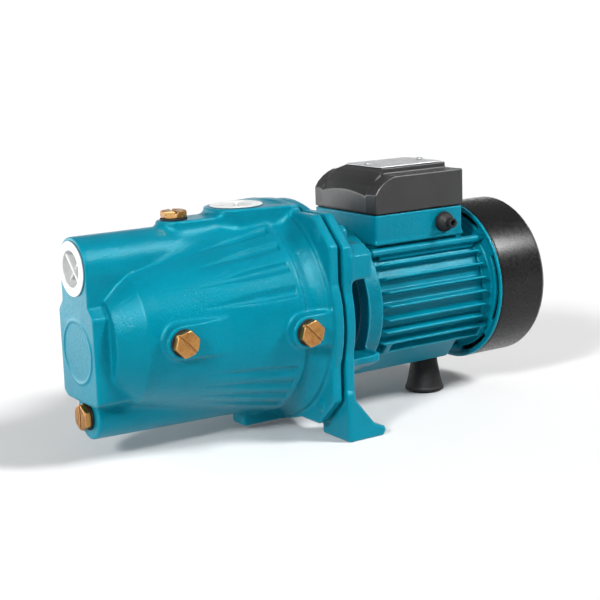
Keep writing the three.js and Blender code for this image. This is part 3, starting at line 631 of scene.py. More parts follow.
def delivery_platform(x, y, z):
    half = 36.0
    x0, r = DELIVERY_X, 28.5
    points = [(x0, -r), (0, -half), (FLANGE_T, -half), (FLANGE_T, half), (0, half), (x0, r)]
    plan = soft_min(outline(x, y, points, 2.0), np.hypot(x - x0, y) - r, 3)
    return crossing(plan, slab(z, 150, PLATFORM_Z), 1.2)


def casing_outside(x, y, z):
    h = z - SHAFT_Z
    body = cut(casing_body(x, y, z), cone_grooves(x, y, z), 0.9)
    tube = bar(y, z - SUCTION_Z, TUBE_R, x, FRONT_X, DELIVERY_X, 1.2)
    front = np.maximum(soft_min(nose(x, y, z), tube, 3), FRONT_X - x)
    pad = crossing(stadium(x, y, FILLING_X, -52, 15.5), slab(z, 150, PAD_TOP_Z), 1.6)
    drain_r = 20 + (x - DRAIN_FACE_X) * 3.5 / 156
    drain = crossing(np.hypot(y, z - DRAIN_Z) - drain_r, slab(x, DRAIN_FACE_X, -30), 1.5)
    shape = filleted(body, (front, 2.5 + 5.5 * smooth_step((x + 150) / 60)), (pad, 5),
                     (delivery_platform(x, y, z), 6), (drain, 7))
    spot_face = bar(y, z - DRAIN_Z, 12.3, x, DRAIN_FACE_X - 9, DRAIN_FACE_X, 0.3)
    low_pad = block(x, y, z, (-41, -11, 5), (FLANGE_T, 11, 40), 2)
    flange = crossing(square_flange(y, z, 93, 91.7, 24.5, 99.5), slab(x, 0, FLANGE_T), 1.2)
    lugs = [(bar(y - sy * BOLT_OFFSET, h - sz * BOLT_OFFSET, 5.5, x, -1.2, 4, 1), 1.2)
            for sy, sz in CORNERS]
    nose_ring = np.hypot(np.hypot(y, z - 96) - 26.5, x - FRONT_X) - 1.1
    return filleted(cut(shape, spot_face, 0.3), (low_pad, 4),
                    (side_boss(x, y, z, SIDE_FRONT, -90, -40), 4.5),
                    (side_boss(x, y, z, SIDE_REAR, 1, -60), 4), (flange, 3.5), *lugs,
                    (nose_ring, 1.0))


def casing_inside(x, y, z):
    h, r = from_shaft(y, z)
    chamber = outline(x, r, [(-133, -20), (-133, 59.5), (-48, 76.5), (SHOULDER_X, 81.5),
                             (9.5, 81.5), (9.5, -20)])
    return union(
        chamber,
        bar(y, z - SUCTION_Z + 3, PORT_R, x, -124, DELIVERY_X),
        bar(y, z - SUCTION_Z, PORT_R, x, FRONT_X - 3, -136),
        bar(x + 156, y, 15, z, SHAFT_Z, SUCTION_Z),
        bar(y, h, 30, x, -168, -140),
        bar(y, h, 16, x, -141, -132),
        bar(y, h, 11, x, -184, -167),
        bar(x - DELIVERY_X, y, PORT_R, z, 150, PLATFORM_Z + 3),
        bar(x - FILLING_X, y, PLUG_R, z, SUCTION_Z, PAD_TOP_Z + 3),
        bar(y, z - DRAIN_Z, PLUG_R, x, DRAIN_FACE_X - 3, -52),
        bar(x - SIDE_FRONT[0], z - SIDE_FRONT[1], PLUG_R, y, SIDE_FRONT[2] - 3, -40),
        bar(x - SIDE_REAR[0], z - SIDE_REAR[1], PLUG_R, y, SIDE_REAR[2] - 3, -70),
    )


def pump_casing(x, y, z):
    return cut(casing_outside(x, y, z), casing_inside(x, y, z), 0.8)


# ---- bracket
RING_X0, RING_X1 = 55.0, 72.0
PLATE_X0, PLATE_X1 = 12.5, 21.0
FOOT_Y0, FOOT_Y1 = 55.5, 97.4
TIE_OFFSET = 66 * math.sqrt(0.5)  # upper tie bolts, across and up
KEEL_TIE_Y, KEEL_TIE_Z = 9.0, 40.5
TIE_BORE_R = 2.7
KEEL_HALF_Y, KEEL_Z = 15.0, 33.5
SPIGOT_R = 54.2


def keel_bores(x, y, z, low, high):
    return bar(np.abs(y) - KEEL_TIE_Y, z - KEEL_TIE_Z, TIE_BORE_R, x, low, high, 0.3)


def bracket_foot(x, y, z):
    profile = [(PLATE_X0, 0), (48.7, 0), (51.7, 4), (50.2, 8), (46.4, 9.5), (40.3, 12), (21, 36),
               (18, 44), (PLATE_X0, 44)]
    side = np.abs(y)
    foot = crossing(outline(x, z, profile, 1.2), slab(side, FOOT_Y0, FOOT_Y1), 1.5)
    pocket = block(x, side, z, (21, FOOT_Y0 + 6, 9.5), (45, FOOT_Y1 - 6, 60), 3)
    hole = bar(x - 33, side - (FOOT_Y0 + FOOT_Y1) / 2, 5, z, -3, 20)
    return cut(cut(foot, pocket, 1.5), hole, 0.8)


def bracket_bell(x, y, z):
    h, r = from_shaft(y, z)
    side = np.abs(y)
    shell = outline(x, r, [(20, 78), (20, 95), (46, 84), (58, 68.5), (RING_X1, 70), (RING_X1, 56),
                           (56, 56), (44, 70)], 1.2)
    upper = outline(side, h, [(40, 36), (40, 56), (58, 65.5), (86, 65.5), (96, 57), (96, 36)], 2)
    upper = crossing(upper, slab(x, 18, 41), 2)
    lower = outline(side, h, [(42, -34), (42, -50), (66, -50), (82, -42), (82, -34)], 2)
    lower = crossing(lower, slab(x, 18, 58), 2)
    arms = filleted(shell, (upper, 5), (lower, 4))
    side_window = crossing(slab(h, -36, 36), slab(x, PLATE_X1, RING_X0), 5)
    top_window = crossing(slab(y, -38, 38), slab(x, PLATE_X1, RING_X0), 5)
    below = np.maximum(h + 50, slab(x, PLATE_X1, RING_X0))
    arms = cut(cut(cut(arms, side_window, 2), top_window, 2), below, 2)
    keel = block(x, y, z, (18, -KEEL_HALF_Y, KEEL_Z), (RING_X1, KEEL_HALF_Y, 47), 2)
    return soft_min(arms, keel, 4)


def bearing_web(x, r):
    profile = [(54, 12), (54, 26), (60, 28), (60, 60), (RING_X1, 60), (RING_X1, SPIGOT_R),
               (78, SPIGOT_R), (78, 50), (66, 50), (66, 26), (RING_X1, 26), (RING_X1, 20.3),
               (58, 20.3), (58, 12)]
    return outline(x, r, profile, 0.5)


def motor_bracket(x, y, z):
    h, r = from_shaft(y, z)
    plate = square_flange(y, z, 95, 91.7, 26.5, 98.5)
    side = np.abs(y)
    lug = bar(side - TIE_OFFSET, h - TIE_OFFSET, 6.5, x, 40, RING_X1, 1)
    shape = filleted(crossing(plate, slab(x, PLATE_X0, PLATE_X1), 1.3),
                     (bracket_bell(x, y, z), 4), (bearing_web(x, r), 2),
                     (bar(y, h, 24, x, 13.5, 28), 3), (lug, 2), (bracket_foot(x, y, z), 3))
    holes = [bar(y, h, 14.3, x, 10, 19.5), bar(y, h, 9, x, 10, 33)]
    for sy, sz in CORNERS:
        u, v = y - sy * BOLT_OFFSET, h - sz * BOLT_OFFSET
        holes.append(bar(u, v, 4.3, x, 10, 25))
        holes.append(bar(u, v, 9, x, PLATE_X1, 46))
    holes.append(bar(side - TIE_OFFSET, h - TIE_OFFSET, TIE_BORE_R, x, 45, 80, 0.3))
    return cut(shape, union(keel_bores(x, y, z, 45, 80), *holes), 0.6)


# ---- motor housing
HOUSING_R, FRAME_R, FIN_R = 58.0, 61.5, 66.5  # barrel, inside of the fins' frame, fin tips
FIN_X0, FIN_X1 = 82.5, 196.5
FIN_PITCH = 11.25
PAD_X1 = 204.5
BOX_X0, BOX_X1 = 80.7, 182.6
BOX_HALF_Y = 48.4
BOX_Z0, BOX_Z1 = 157.9, 184.7
SCREWS_X = (109, 170)  # lid screws, on the middle line
SCREW_HOLE_R = 2.3


def side_fins(x, y, z):
    """Four fins above and below the shaft's height on each side, the two lowest as a frame."""
    h, r = from_shaft(y, z)
    angle = np.degrees(np.arctan2(h, np.abs(y)))
    step = np.clip(np.round(angle / FIN_PITCH), -4, 3)
    off = np.radians(angle - step * FIN_PITCH)
    across, out = r * np.sin(off), r * np.cos(off)
    half_t = 0.9 + 0.07 * (FIN_R - out)
    low_pair = step <= -3
    x_end = np.where(low_pair, PAD_X1, FIN_X1)
    slant = FIN_X0 - 7 * (FIN_R - out) / (FIN_R - HOUSING_R + 1.5)
    ends = np.maximum(slant - x, x - x_end)
    ends = np.maximum(ends, np.where(x > FIN_X1, FRAME_R - out, -9))
    fin = crossing(np.abs(across) - half_t, np.maximum(out - FIN_R, ends), 0.4)
    wedge = np.radians(np.abs(angle + 3.5 * FIN_PITCH) - 0.5 * FIN_PITCH) * r
    frame_wall = np.maximum(wedge, crossing(r - FIN_R, FRAME_R - r, 0.6))
    rear = crossing(frame_wall, slab(x, PAD_X1 - 6.5, PAD_X1), 0.6)
    front_wall = np.maximum(wedge, r - FIN_R)
    front_end = crossing(front_wall, slab(x, FIN_X0 + 3.5, FIN_X0 + 10), 0.6)
    return soft_min(fin, np.minimum(rear, front_end), 1.5)


def terminal_box(x, y, z):
    walls = block(x, y, z, (BOX_X0 + 0.7, 0.7 - BOX_HALF_Y, BOX_Z0),
                  (BOX_X1 - 0.7, BOX_HALF_Y - 0.7, BOX_Z1 + 5), 2.5)
    ledge = block(x, y, z, (BOX_X0, -BOX_HALF_Y, BOX_Z0), (BOX_X1, BOX_HALF_Y, BOX_Z0 + 3), 1.2)
    pedestal = block(x, y, z, (BOX_X0 + 3, -41, SHAFT_Z + 30), (BOX_X1 - 2, 41, BOX_Z0 + 1), 2)
    corner = np.sqrt((x - BOX_X1 + 4) ** 2 + (np.abs(y) - BOX_HALF_Y + 4) ** 2
                     + (z - BOX_Z0 - 3) ** 2) - 4.0
    return filleted(walls, (ledge, 1.5), (corner, 1.0), (pedestal, 2.5))


def motor_housing(x, y, z):
    h = z - SHAFT_Z
    side = np.abs(y)
    barrel = bar(y, h, HOUSING_R, x, HOUSING_X0, 196.7, 1)
    keel = outline(side, z, [(-20, SHAFT_Z - 30), (-20, KEEL_Z), (KEEL_HALF_Y, KEEL_Z),
                             (50, SHAFT_Z - 30)], 2)
    rail = bar(side - TIE_OFFSET, h - TIE_OFFSET, 3.6, x, 76, 200.5, 1)
    web = crossing(slab(side, 30, TIE_OFFSET), slab(h, TIE_OFFSET - 8, TIE_OFFSET), 1)
    web = np.maximum(web, slab(x, FIN_X0 + 3, 196))
    shape = filleted(barrel, (crossing(keel, slab(x, HOUSING_X0, 188), 1.2), 3),
                     (side_fins(x, y, z), 1.6), (soft_min(rail, web, 1.5), 2.5),
                     (terminal_box(x, y, z), 3))
    cavity = block(x, y, z, (BOX_X0 + 3, 3 - BOX_HALF_Y, 165),
                   (BOX_X1 - 3, BOX_HALF_Y - 3, BOX_Z1 + 20), 1.5)
    shape = cut(shape, union(cavity, BOX_Z1 - z), 0.5)
    shape = cut(shape, bar(y, h, 54.8, x, 60, 210), 0.6)
    holes = [
        bar(x - 176, y - 30, 5, z, 130, 170), bar(x - 158.3, z - 172, 6, y, -52, -44),
        bar(x - 171.6, y, 2.9, z, 30, 46, 0.3), keel_bores(x, y, z, 60, 210),
    ]
    for screw_x in SCREWS_X:
        shape = soft_min(shape, bar(x - screw_x, y, 4.5, z, 164, BOX_Z1, 0.4), 1)
        holes.append(bar(x - screw_x, y, SCREW_HOLE_R, z, 166, 190, 0.2))
    return cut(shape, union(*holes), 0.5)


def rear_end_shield(x, y, z):
    h, r = from_shaft(y, z)
    rim = outline(x, r, [
        (201, 22), (201, 50), (190, 50), (190, SPIGOT_R), (197, SPIGOT_R), (197, HOUSING_R),
        (200, 59), (206, 60.5), (206, 70.5), (203.6, 74.5), (203.6, 76.2), (206.3, 76.2),
        (206.3, 73.3), (213, 73.3), (213, 70.8), (209.5, 70.8), (209.5, 57), (206.5, 54),
        (206.5, 22),
    ], 0.5)
    hub = outline(x, r, [(194, 9), (194, 24), (212, 24), (212, 17.8), (198.4, 17.8),
                         (198.4, 9)], 0.5)
    shape = soft_min(rim, hub, 1.5)
    side = np.abs(y)
    holes = np.minimum(bar(side - TIE_OFFSET, h - TIE_OFFSET, TIE_BORE_R, x, 190, 212, 0.3),
                       keel_bores(x, y, z, 190, 212))
    angle = np.degrees(np.arctan2(h, side))
    for low, high in ((-77, -43), (-27, 27), (53, 87)):
        across = np.radians(slab(angle, low, high)) * r
        slot = crossing(across, slab(r, 66.2, 70.2), 1.2)
        holes = np.minimum(holes, np.maximum(slot, slab(x, 204.5, 212)))
    return cut(shape, holes, 0.3)


# ---- plugs and bolts
WASHER_T, GAP = 1.5, 0.3
HEAD_Z = 2 * GAP + WASHER_T
PLUG_FLATS, PLUG_HEAD_T, PLUG_DEPTH = 20.4, 6, 11
BOLT_FLATS, BOLT_DEPTH = 13, 18


def hexagon(u, v, across_flats):
    """Distance to a hexagon whose flats face along u."""
    a, b = np.abs(u), np.abs(v)
    return np.maximum(a, 0.5 * a + 0.866 * b) - across_flats / 2


def threaded(u, v, w, radius, pitch, depth):
    turns = w / pitch - np.arctan2(v, u) / (2 * math.pi)
    tooth = np.abs(2 * (turns - np.floor(turns)) - 1)
    return (np.hypot(u, v) - radius + depth * tooth) * 0.7


def chamfered_head(u, v, w, across_flats, low, high):
    r = np.hypot(u, v)
    corner = across_flats / 2 + 0.2
    head = crossing(hexagon(u, v, across_flats), slab(w, low, high), 0.4)
    top = 0.5 * (r - corner) + 0.866 * (w - high)
    bottom = 0.5 * (r - corner) + 0.866 * (low - w)
    return soft_max(soft_max(head, top, 0.4), bottom, 0.4)


def slotted_plug(u, v, w):
    top = HEAD_Z + PLUG_HEAD_T
    head = chamfered_head(u, v, w, PLUG_FLATS, HEAD_Z, top)
    shank = np.maximum(threaded(u, v, w, 8.0, 1.34, 0.7), slab(w, -PLUG_DEPTH, HEAD_Z + 1))
    tip = 0.7 * (np.hypot(u, v) - 7.2 - (w + PLUG_DEPTH))
    plug = np.minimum(head, np.maximum(shank, tip))
    dish = np.hypot(np.hypot(u, v), w - top - 30) - 30.3
    slot = crossing(np.abs(u) - 1.1, top - 2.3 - w, 0.3)
    return cut(cut(plug, slot, 0.4), dish, 0.4)


def hex_bolt(u, v, w):
    head = chamfered_head(u, v, w, BOLT_FLATS, GAP, 5.8)
    shank = np.maximum(threaded(u, v, w, 4.0, 1.25, 0.5), slab(w, -BOLT_DEPTH, 1))
    return np.minimum(head, shank)


def transit_plug(u, v, w):
    """Cap for a port in transit: a rim, a ribbed barrel and a deep cup with one web across."""
    r = np.hypot(u, v)
    rim = crossing(r - 23.1, slab(w, GAP, 1.6), 0.6)
    barrel = crossing(r - 18.2 + 0.25 * np.cos(w * 2.9), slab(w, -13, 1.5), 0.4)
    cup = crossing(r - 14.6 - 0.06 * (w + 10), slab(w, -10.5, 6), 1.0)
    web = np.maximum(crossing(np.abs(v) - 1.1, slab(w, -12, 0.2), 0.4), r - 16)
    rib = np.maximum(crossing(np.abs(u) - 0.8, slab(w, -12, -2.5), 0.4), r - 16)
    lip = np.hypot(r - 16.2, w - 1.25) - 0.6
    shape = cut(soft_min(rim, barrel, 0.8), cup, 0.6)
    return filleted(shape, (lip, 0.4), (web, 0.6), (rib, 0.6))


def fastened_plugs():
    shape = sampled(slotted_plug, (-12, -12, -PLUG_DEPTH), (12, 12, 8.2), 0.42)
    slots_turn = {"filling_plug": 75, "drain_plug": 0, "side_plug_front": 45, "side_plug_rear": 45}
    for name, degrees in slots_turn.items():
        outward = np.array(joint_of[name]["axis"])
        seat = middle(name + "_washer") - outward * (GAP + WASHER_T / 2)
        angle = math.radians(degrees)
        side = np.array([0.0, 1.0, 0.0] if abs(outward[1]) < 0.5 else [1.0, 0.0, 0.0])
        across = side * math.cos(angle) + np.cross(outward, side) * math.sin(angle)
        finish_piece(placed("turned_" + name, shape, seat, across, outward), name)
        axis = int(np.argmax(np.abs(outward)))
        a, s = seat[axis], outward[axis]
        near, far = sorted((a + s * GAP, a + s * (GAP + WASHER_T)))
        profile = [(near, 9), (near, 11.7), (far, 11.7), (far, 8.3), (near, 8.3), (near, 9)]
        washer = turned(name + "_ring", profile, 0.5, 72, "xyz"[axis], np.delete(seat, axis))
        finish_piece(washer, name + "_washer")


def port_caps():
    shape = sampled(transit_plug, (-24, -24, -13), (24, 24, 2.2), 0.62)
    for name, outward in (("suction_port_plug", (-1, 0, 0)), ("discharge_port_plug", (0, 0, 1))):
        w = np.array(outward, float)
        seat = middle(name)
        axis = int(np.argmax(np.abs(w)))
        seat[axis] = node_box(name)[int(w[axis] > 0)][axis] - w[axis] * CAP_PROUD
        across = (0.0, math.sqrt(0.5), math.sqrt(0.5)) if axis == 0 else (0.5, 0.866, 0.0)
        finish_piece(placed("cap_" + name, shape, seat, across, w), name)


def casing_bolts():
    shape = sampled(hex_bolt, (-7.6, -7.6, -BOLT_DEPTH), (7.6, 7.6, 6), 0.5)
    for number, (sy, sz) in enumerate(CORNERS, 1):
        seat = (PLATE_X1, sy * BOLT_OFFSET, SHAFT_Z + sz * BOLT_OFFSET)
        piece = placed(f"hex_bolt_{number}", shape, seat, (0, 1, 0), (1, 0, 0))
        finish_piece(piece, f"casing_bolt_{number}", slots["cast_paint"])


def tie_bolts():
    for node in [f"tie_bolt_{number}" for number in range(1, 5)]:
        low, high = node_box(node)
        head, tip = high[0] - 3.7, high[0]
        profile = [(low[0], 0), (low[0], 2.4), (head, 2.4), (head, 4.1), (tip, 4.1), (tip, 0)]
        rod = turned("rod_" + node, profile, 0.5, 40, "x", middle(node)[1:])
        finish_piece(rod, node, slots["cast_paint"])


# ---- terminal box lid
STRIP_HALF_Y = 29.0
DECK_Z, HOOD_Z = 218.9, 224.2


def screw_holes(x, y):
    return union(*(np.hypot(x - screw_x, y) for screw_x in SCREWS_X)) - SCREW_HOLE_R


def lid_cheeks(x, side, z):
    """The lid's two sides and its flat deck: a front that bends up to the top."""
    back = x - BOX_X1
    x = x - 0.1 * np.maximum(side - 35, 0)
    x0, x1 = BOX_X0, BOX_X1 + 5
    points = [(x0, 180), (x0, 203.4), (x0 + 4, 209), (x0 + 9.7, 213.7), (x0 + 15.4, 216.9),
              (x0 + 21, DECK_Z), (x1, DECK_Z), (x1, 180)]
    body = crossing(crossing(outline(x, z, points, 0.8), side - BOX_HALF_Y, 1.2), back, 1.2)
    return np.maximum(body, -np.maximum(side - 34.5, x - 98))


def lid_hood(x, side, z):
    """The crowned middle, which slopes down over the front and carries the nameplate."""
    points = [(BOX_X0, 180), (BOX_X0, 205.8), (BOX_X0 + 4.9, 212.5), (91.4, 217.5),
              (98.1, 221.5), (105, HOOD_Z), (BOX_X1 - 5, HOOD_Z), (BOX_X1 - 5, 180)]
    crown = 4.6 * (side / 36) ** 2 * np.clip((HOOD_Z - z) / 19, 0, 1)
    half = STRIP_HALF_Y + 6.3 * (1 - smooth_step((x - 96) / 10))
    return crossing(outline(x, z + crown, points, 0.8), side - half, 0.8)


def terminal_box_lid(x, y, z):
    """A shell of 2.5 mm with a seat for the nameplate and two screw holes."""
    side = np.abs(y)
    outside = soft_min(lid_cheeks(x, side, z), lid_hood(x, side, z), 0.8)
    shape = crossing(outside, LID_Z0 - z, 0.6)
    shape = cut(shape, outside + 2.5, 0.6)
    seat = crossing(slab(x, 102.6, 176.4), slab(y, -27.9, 27.9), 3)
    shape = cut(shape, np.maximum(seat, HOOD_Z - 0.2 - z), 0.4)
    return cut(shape, np.maximum(screw_holes(x, y), 200 - z), 0.4)


def ring_prism(name, outer, inner, low, high):
    """Flat closed band between two loops of the same number of (x, y) points."""
    n = len(outer)
    rings = [(outer, low), (outer, high), (inner, high), (inner, low)]
    vertices = [(x, y, z) for loop, z in rings for x, y in loop]
    faces = [(k * n + i, k * n + (i + 1) % n, (k + 1) % 4 * n + (i + 1) % n, (k + 1) % 4 * n + i)
             for k in range(4) for i in range(n)]
    return closed(mesh_object(name, to_row(vertices), faces))


def round_rectangle(x0, x1, y0, y1, radius):
    corners = [(x1 - radius, y1 - radius, 0), (x0 + radius, y1 - radius, 90),
               (x0 + radius, y0 + radius, 180), (x1 - radius, y0 + radius, 270)]
    points = []
    for cx, cy, start in corners:
        for angle in np.radians(start + 11.25 * np.arange(9)):
            points.append((cx + radius * math.cos(angle), cy + radius * math.sin(angle)))
    return points


def lid_gasket():
    low, high = node_box("lid_gasket")
    outer, inner = (round_rectangle(low[0] + d, high[0] - d, low[1] + d, high[1] - d, radius)
                    for d, radius in ((1.5, 3.5), (4, 2.5)))
    finish_piece(ring_prism("seal_lid_gasket", outer, inner, low[2], high[2]), "lid_gasket")


def nameplate():
    low, high = node_box("nameplate")

    def field(x, y, z):
        plan = crossing(slab(x, low[0], high[0]), slab(y, low[1], high[1]), 2.5)
        plate = crossing(plan, slab(z, low[2], high[2]), 0.25)
        line = np.maximum(np.abs(plan + 2.2) - 0.35, high[2] - 0.2 - z)
        return np.maximum(np.maximum(plate, -line), -screw_holes(x, y))
    field_piece("blank_nameplate", "nameplate", field, 0.5)


def lid_screws():
    def field(u, v, w):
        r = np.hypot(u, v)
        head = np.maximum(np.hypot(r, w + 3.6) - 5.6, -w)
        head = soft_max(head, r - 3.0, 0.4)
        shank = np.maximum(r - 1.9, slab(w, -30, 0.5))
        a, b = np.abs(u), np.abs(v)
        cross = np.minimum(crossing(a - 0.45, b - 1.9, 0.1), crossing(b - 0.45, a - 1.9, 0.1))
        return cut(np.minimum(head, shank), np.maximum(cross, 0.8 - w), 0.2)
    shape = sampled(field, (-3.5, -3.5, -30), (3.5, 3.5, 2.1), 0.33)
    dull = plated_steel("dull_steel", (0.36, 0.37, 0.38), 0.36)
    for node in ("lid_screw_1", "lid_screw_2"):
        seat = (middle(node)[0], 0, node_box(node)[1][2] - 2)
        screw = placed("pan_" + node, shape, seat, (0.8, 0.6, 0), (0, 0, 1))
        finish_piece(screw, node, dull)


# ---- fan and cover
COVER_T = 2.2
SLOT_COUNT, SLOT_HALF_W = 16, 2.5
SLOT_R0, SLOT_R1 = 22.5, 61.5  # centres of a slot's two round ends
FAN_X = [corner[0] for corner in node_box("cooling_fan")]


def fan_cover():
    """Deep round cap with a rounded rear edge and radial air slots in its face."""
    low, high = node_box("fan_cover")
    x0, x1, r = low[0], high[0], high[2] - SHAFT_Z
    outer = [(x1, 0), (x1, 62), (x1, 70.5), (x1 - 1.4, 74.0), (x1 - 5.0, r), (x0 + 2, r),
             (x0, r - 0.5)]
    inner = [(x0, r - COVER_T), (x1 - 6, r - COVER_T), (x1 - 3.6, 71), (x1 - COVER_T, 68),
             (x1 - COVER_T, 0)]
    piece = turned("moulded_fan_cover", outer + inner, 2.5, 160, "x", (0, SHAFT_Z))
    for k in range(SLOT_COUNT):
        angle = 2 * math.pi * k / SLOT_COUNT
        out = np.array([0, math.cos(angle), math.sin(angle)])
        across = np.array([0, -math.sin(angle), math.cos(angle)])
        loop = []
        for centre, start in ((SLOT_R1, -90), (SLOT_R0, 90)):
            for a in np.radians(start + 22.5 * np.arange(9)):
                loop.append(out * (centre + SLOT_HALF_W * math.cos(a))
                            + across * SLOT_HALF_W * math.sin(a))
        loop = np.array(loop) + np.array([0, 0, SHAFT_Z])
        subtract(piece, prism("slot_cutter", loop + [x1 - 6, 0, 0], loop + [x1 + 2, 0, 0]))
    shade(piece, 32)
    plastic = black_plastic("cover_plastic", 0.003, 0.24, 0.28, 0.2)
    finish_piece(piece, "fan_cover", plastic)


def prism(name, near, far):
    """Closed prism between two loops of drawing points."""
    n = len(near)
    sides = [(i, (i + 1) % n, n + (i + 1) % n, n + i) for i in range(n)]
    mesh = bpy.data.meshes.new(name)
    mesh.from_pydata(to_row(np.concatenate([near, far])).tolist(), [],
                     [tuple(range(n))[::-1], tuple(range(n, 2 * n)), *sides])
    return closed(linked(name, mesh))


def subtract(piece, tool):
    """Cuts the tool out of the piece and removes the tool."""
    modifier = piece.modifiers.new("cut", "BOOLEAN")
    modifier.operation = "DIFFERENCE"
    modifier.solver = "MANIFOLD"
    modifier.object = tool
    evaluated = piece.evaluated_get(bpy.context.evaluated_depsgraph_get())
    piece.data = bpy.data.meshes.new_from_object(evaluated)
    piece.modifiers.clear()
    bpy.data.objects.remove(tool)


def cooling_fan(x, y, z):
    """Hub, back plate and six straight blades."""
    h, r = from_shaft(y, z)
    x0, x1 = FAN_X
    hub = bar(y, h, 14, x, x0, x1, 1)
    plate = bar(y, h, 60, x, x0, x0 + 2.5, 0.8)
    step = math.pi / 3
    angle = np.arctan2(h, y)
    off = angle - np.round(angle / step) * step
    blade = np.maximum(np.abs(r * np.sin(off)) - 1.2, r * np.cos(off) - 61.5)
    blade = crossing(blade, slab(x, x0 + 0.5, x1), 0.6)
    return cut(filleted(hub, (plate, 3), (blade, 2)), r - 6.5, 0.4)


# ---- rubber pieces and shaft
def cable_gland():
    low, high = node_box("cable_gland")
    face = -BOX_HALF_Y
    centre = middle("cable_gland")[[0, 2]]
    profile = [(high[1], 2.5), (high[1], 6.5), (face + 3.3, 6.5), (face + 3.3, 5.6),
               (face - 0.3, 5.6), (face - 0.3, 9.5), (face - 2.4, 9.5), (face - 4.6, 8.9),
               (face - 6.6, 7.6), (face - 8.4, 5.6), (face - 9.4, 4.6), (low[1], 4.4),
               (low[1], 2.5), (high[1] - 1, 2.5), (high[1], 2.5)]
    finish_piece(turned("moulded_cable_gland", profile, 0.6, 72, "y", centre), "cable_gland")


def rubber_foot():
    top, r = node_box("rubber_foot")[1][2], 18.7
    profile = [(0, 0), (0, r - 1.8), (1.2, r), (3.6, r), (5, r - 1.0), (14, r - 3.1),
               (26, 13.4), (top - 1.5, 12.6), (top, 12.2), (top, 3), (14, 3), (14, 0)]
    foot = turned("moulded_rubber_foot", profile, 1.0, 96, "z", middle("rubber_foot")[:2])
    finish_piece(foot, "rubber_foot")


def shaft_and_rings():
    along_shaft = (0, SHAFT_Z)
    bar_profile = [(-33, 0), (-33, 4.9), (-22, 4.9), (-22, 6.95), (34, 6.95), (34, 8.1),
                   (84, 8.1), (84, 10.9), (186, 10.9), (186, 7.1), (214, 7.1), (214, 6.1),
                   (243, 6.1), (243, 0)]
    finish_piece(turned("ground_shaft", bar_profile, 0.4, 64, "x", along_shaft), "shaft")
    slinger = [(36, 8.6), (36, 14), (38, 21.8), (40, 21.8), (41, 12), (41, 8.6), (38, 8.6),
               (36, 8.6)]
    finish_piece(turned("flexible_slinger", slinger, 0.5, 80, "x", along_shaft), "slinger")
    x0, x1 = (corner[0] for corner in node_box("casing_gasket"))
    ring = [(x0, 84), (x0, 90), (x1, 90), (x1, 82), (x0, 82), (x0, 84)]
    gasket = turned("seal_casing_gasket", ring, 0.5, 128, "x", along_shaft)
    finish_piece(gasket, "casing_gasket")


def inner_pieces():
    """Sealed inner pieces keep their CAD shape and take their slot's material."""
    for name, node in frame["nodes"].items():
        if node.hide_render:
            continue
        node.data.materials.clear()
        node.data.materials.append(slots[slot_of[name]])


# ---- floor, light and camera
def stage():
    """A pale round floor that curves up far from the pump, so that no horizon shows."""
    rings = [(1.0, 0), (2.5, 0), (4.0, 0), (4.6, 0.03), (5.2, 0.12), (5.8, 0.3), (6.3, 0.58),
             (6.7, 0.98), (7.0, 1.5), (7.2, 2.1)]
    count = 96
    turns = np.arange(count) * 2 * math.pi / count
    vertices = [(0, 0, 0)]
    for radius, height in rings:
        vertices += [(radius * math.cos(t), radius * math.sin(t), height) for t in turns]
    faces = [(0, 1 + k, 1 + (k + 1) % count) for k in range(count)]
    for row in range(len(rings) - 1):
        a, b = 1 + row * count, 1 + (row + 1) * count
        faces += [(a + k, b + k, b + (k + 1) % count, a + (k + 1) % count) for k in range(count)]
    mesh = bpy.data.meshes.new("stage_floor")
    mesh.from_pydata(vertices, [], faces)
    mesh.shade_smooth()
    mesh.materials.append(stage_floor())
    linked("stage_floor", mesh)


def studio():
    """White surroundings, two suns, one that only gives gloss, and a softbox on the far side."""
    world = bpy.data.worlds.new("studio")
    world.use_nodes = True
    background = world.node_tree.nodes["Background"].inputs
    background["Color"].default_value = (1.0, 1.0, 1.0, 1)
    background["Strength"].default_value = 0.24
    bpy.context.scene.world = world
    sun("key", (-0.74, -0.36, 0.46), 2.5, 10)
    sun("right", (0.54, -0.55, 0.66), 3.7, 15)
    sun("glint", (-0.40, -0.60, 0.69), 6.0, 9, glossy_only=True)
    softbox("far_side", (-0.95, 0.75, 0.15), (0.8, 0.6), 8)


def lamp(name, kind, toward, power):
    """A light that shines from the direction given."""
    light = linked(name, bpy.data.lights.new(name, kind))
    light.data.energy = power
    light.rotation_euler = Vector(toward).to_track_quat("Z", "Y").to_euler()
    return light


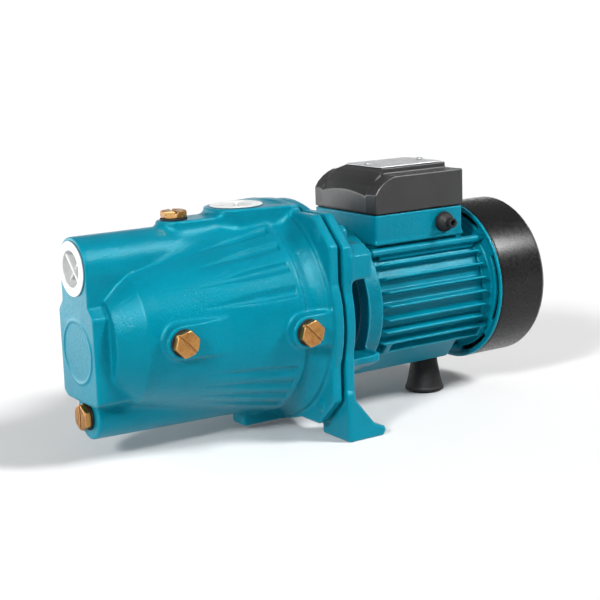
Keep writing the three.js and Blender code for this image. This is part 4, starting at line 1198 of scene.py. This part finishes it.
def sun(name, toward, power, spread, glossy_only=False):
    light = lamp(name, "SUN", toward, power)
    light.data.angle = math.radians(spread)
    light.visible_diffuse = not glossy_only


def softbox(name, place, size, power):
    """A bright rectangle that faces the middle of the pump."""
    light = lamp(name, "AREA", Vector(place) - Vector((-0.1, 0, 0.12)), power)
    light.data.shape = "RECTANGLE"
    light.data.size, light.data.size_y = size
    light.location = place


def camera():
    """A long lens from the front left, a little above the pump and tilted two degrees."""
    azimuth, elevation, roll = (math.radians(a) for a in (-33.23, 11.60, -1.97))
    distance = 1.27203
    target = Vector((-0.14221, 0, SHAFT_Z * MM + 0.00406))
    back = Vector((math.sin(azimuth) * math.cos(elevation),
                   -math.cos(azimuth) * math.cos(elevation), math.sin(elevation)))
    right = (-back).cross(Vector((0, 0, 1))).normalized()
    up = right.cross(-back)
    x_axis = right * math.cos(roll) + up * math.sin(roll)
    y_axis = up * math.cos(roll) - right * math.sin(roll)
    view = linked("camera", bpy.data.cameras.new("camera"))
    view.data.lens, view.data.sensor_width = 83.83, 36.0
    view.data.clip_start, view.data.clip_end = 0.05, 30
    turn = Matrix((x_axis, y_axis, back)).transposed().to_4x4()
    view.matrix_world = Matrix.Translation(target + back * distance) @ turn
    bpy.context.scene.camera = view
    bpy.context.scene.view_settings.view_transform = "Standard"


camera()
stage()
studio()
field_piece("casting_pump_casing", "pump_casing", pump_casing, 1.5)
field_piece("casting_motor_bracket", "motor_bracket", motor_bracket, 1.4)
field_piece("casting_motor_housing", "motor_housing", motor_housing, 1.3)
field_piece("casting_rear_end_shield", "rear_end_shield", rear_end_shield, 1.3)
fastened_plugs()
port_caps()
casing_bolts()
tie_bolts()
lid_plastic = black_plastic("lid_plastic", 0.012, 0.34, 0.55, 1.8)
field_piece("moulded_terminal_box_lid", "terminal_box_lid", terminal_box_lid, 1.0, lid_plastic)
lid_gasket()
nameplate()
lid_screws()
fan_cover()
field_piece("moulded_cooling_fan", "cooling_fan", cooling_fan, 1.3)
cable_gland()
rubber_foot()
shaft_and_rings()
inner_pieces()
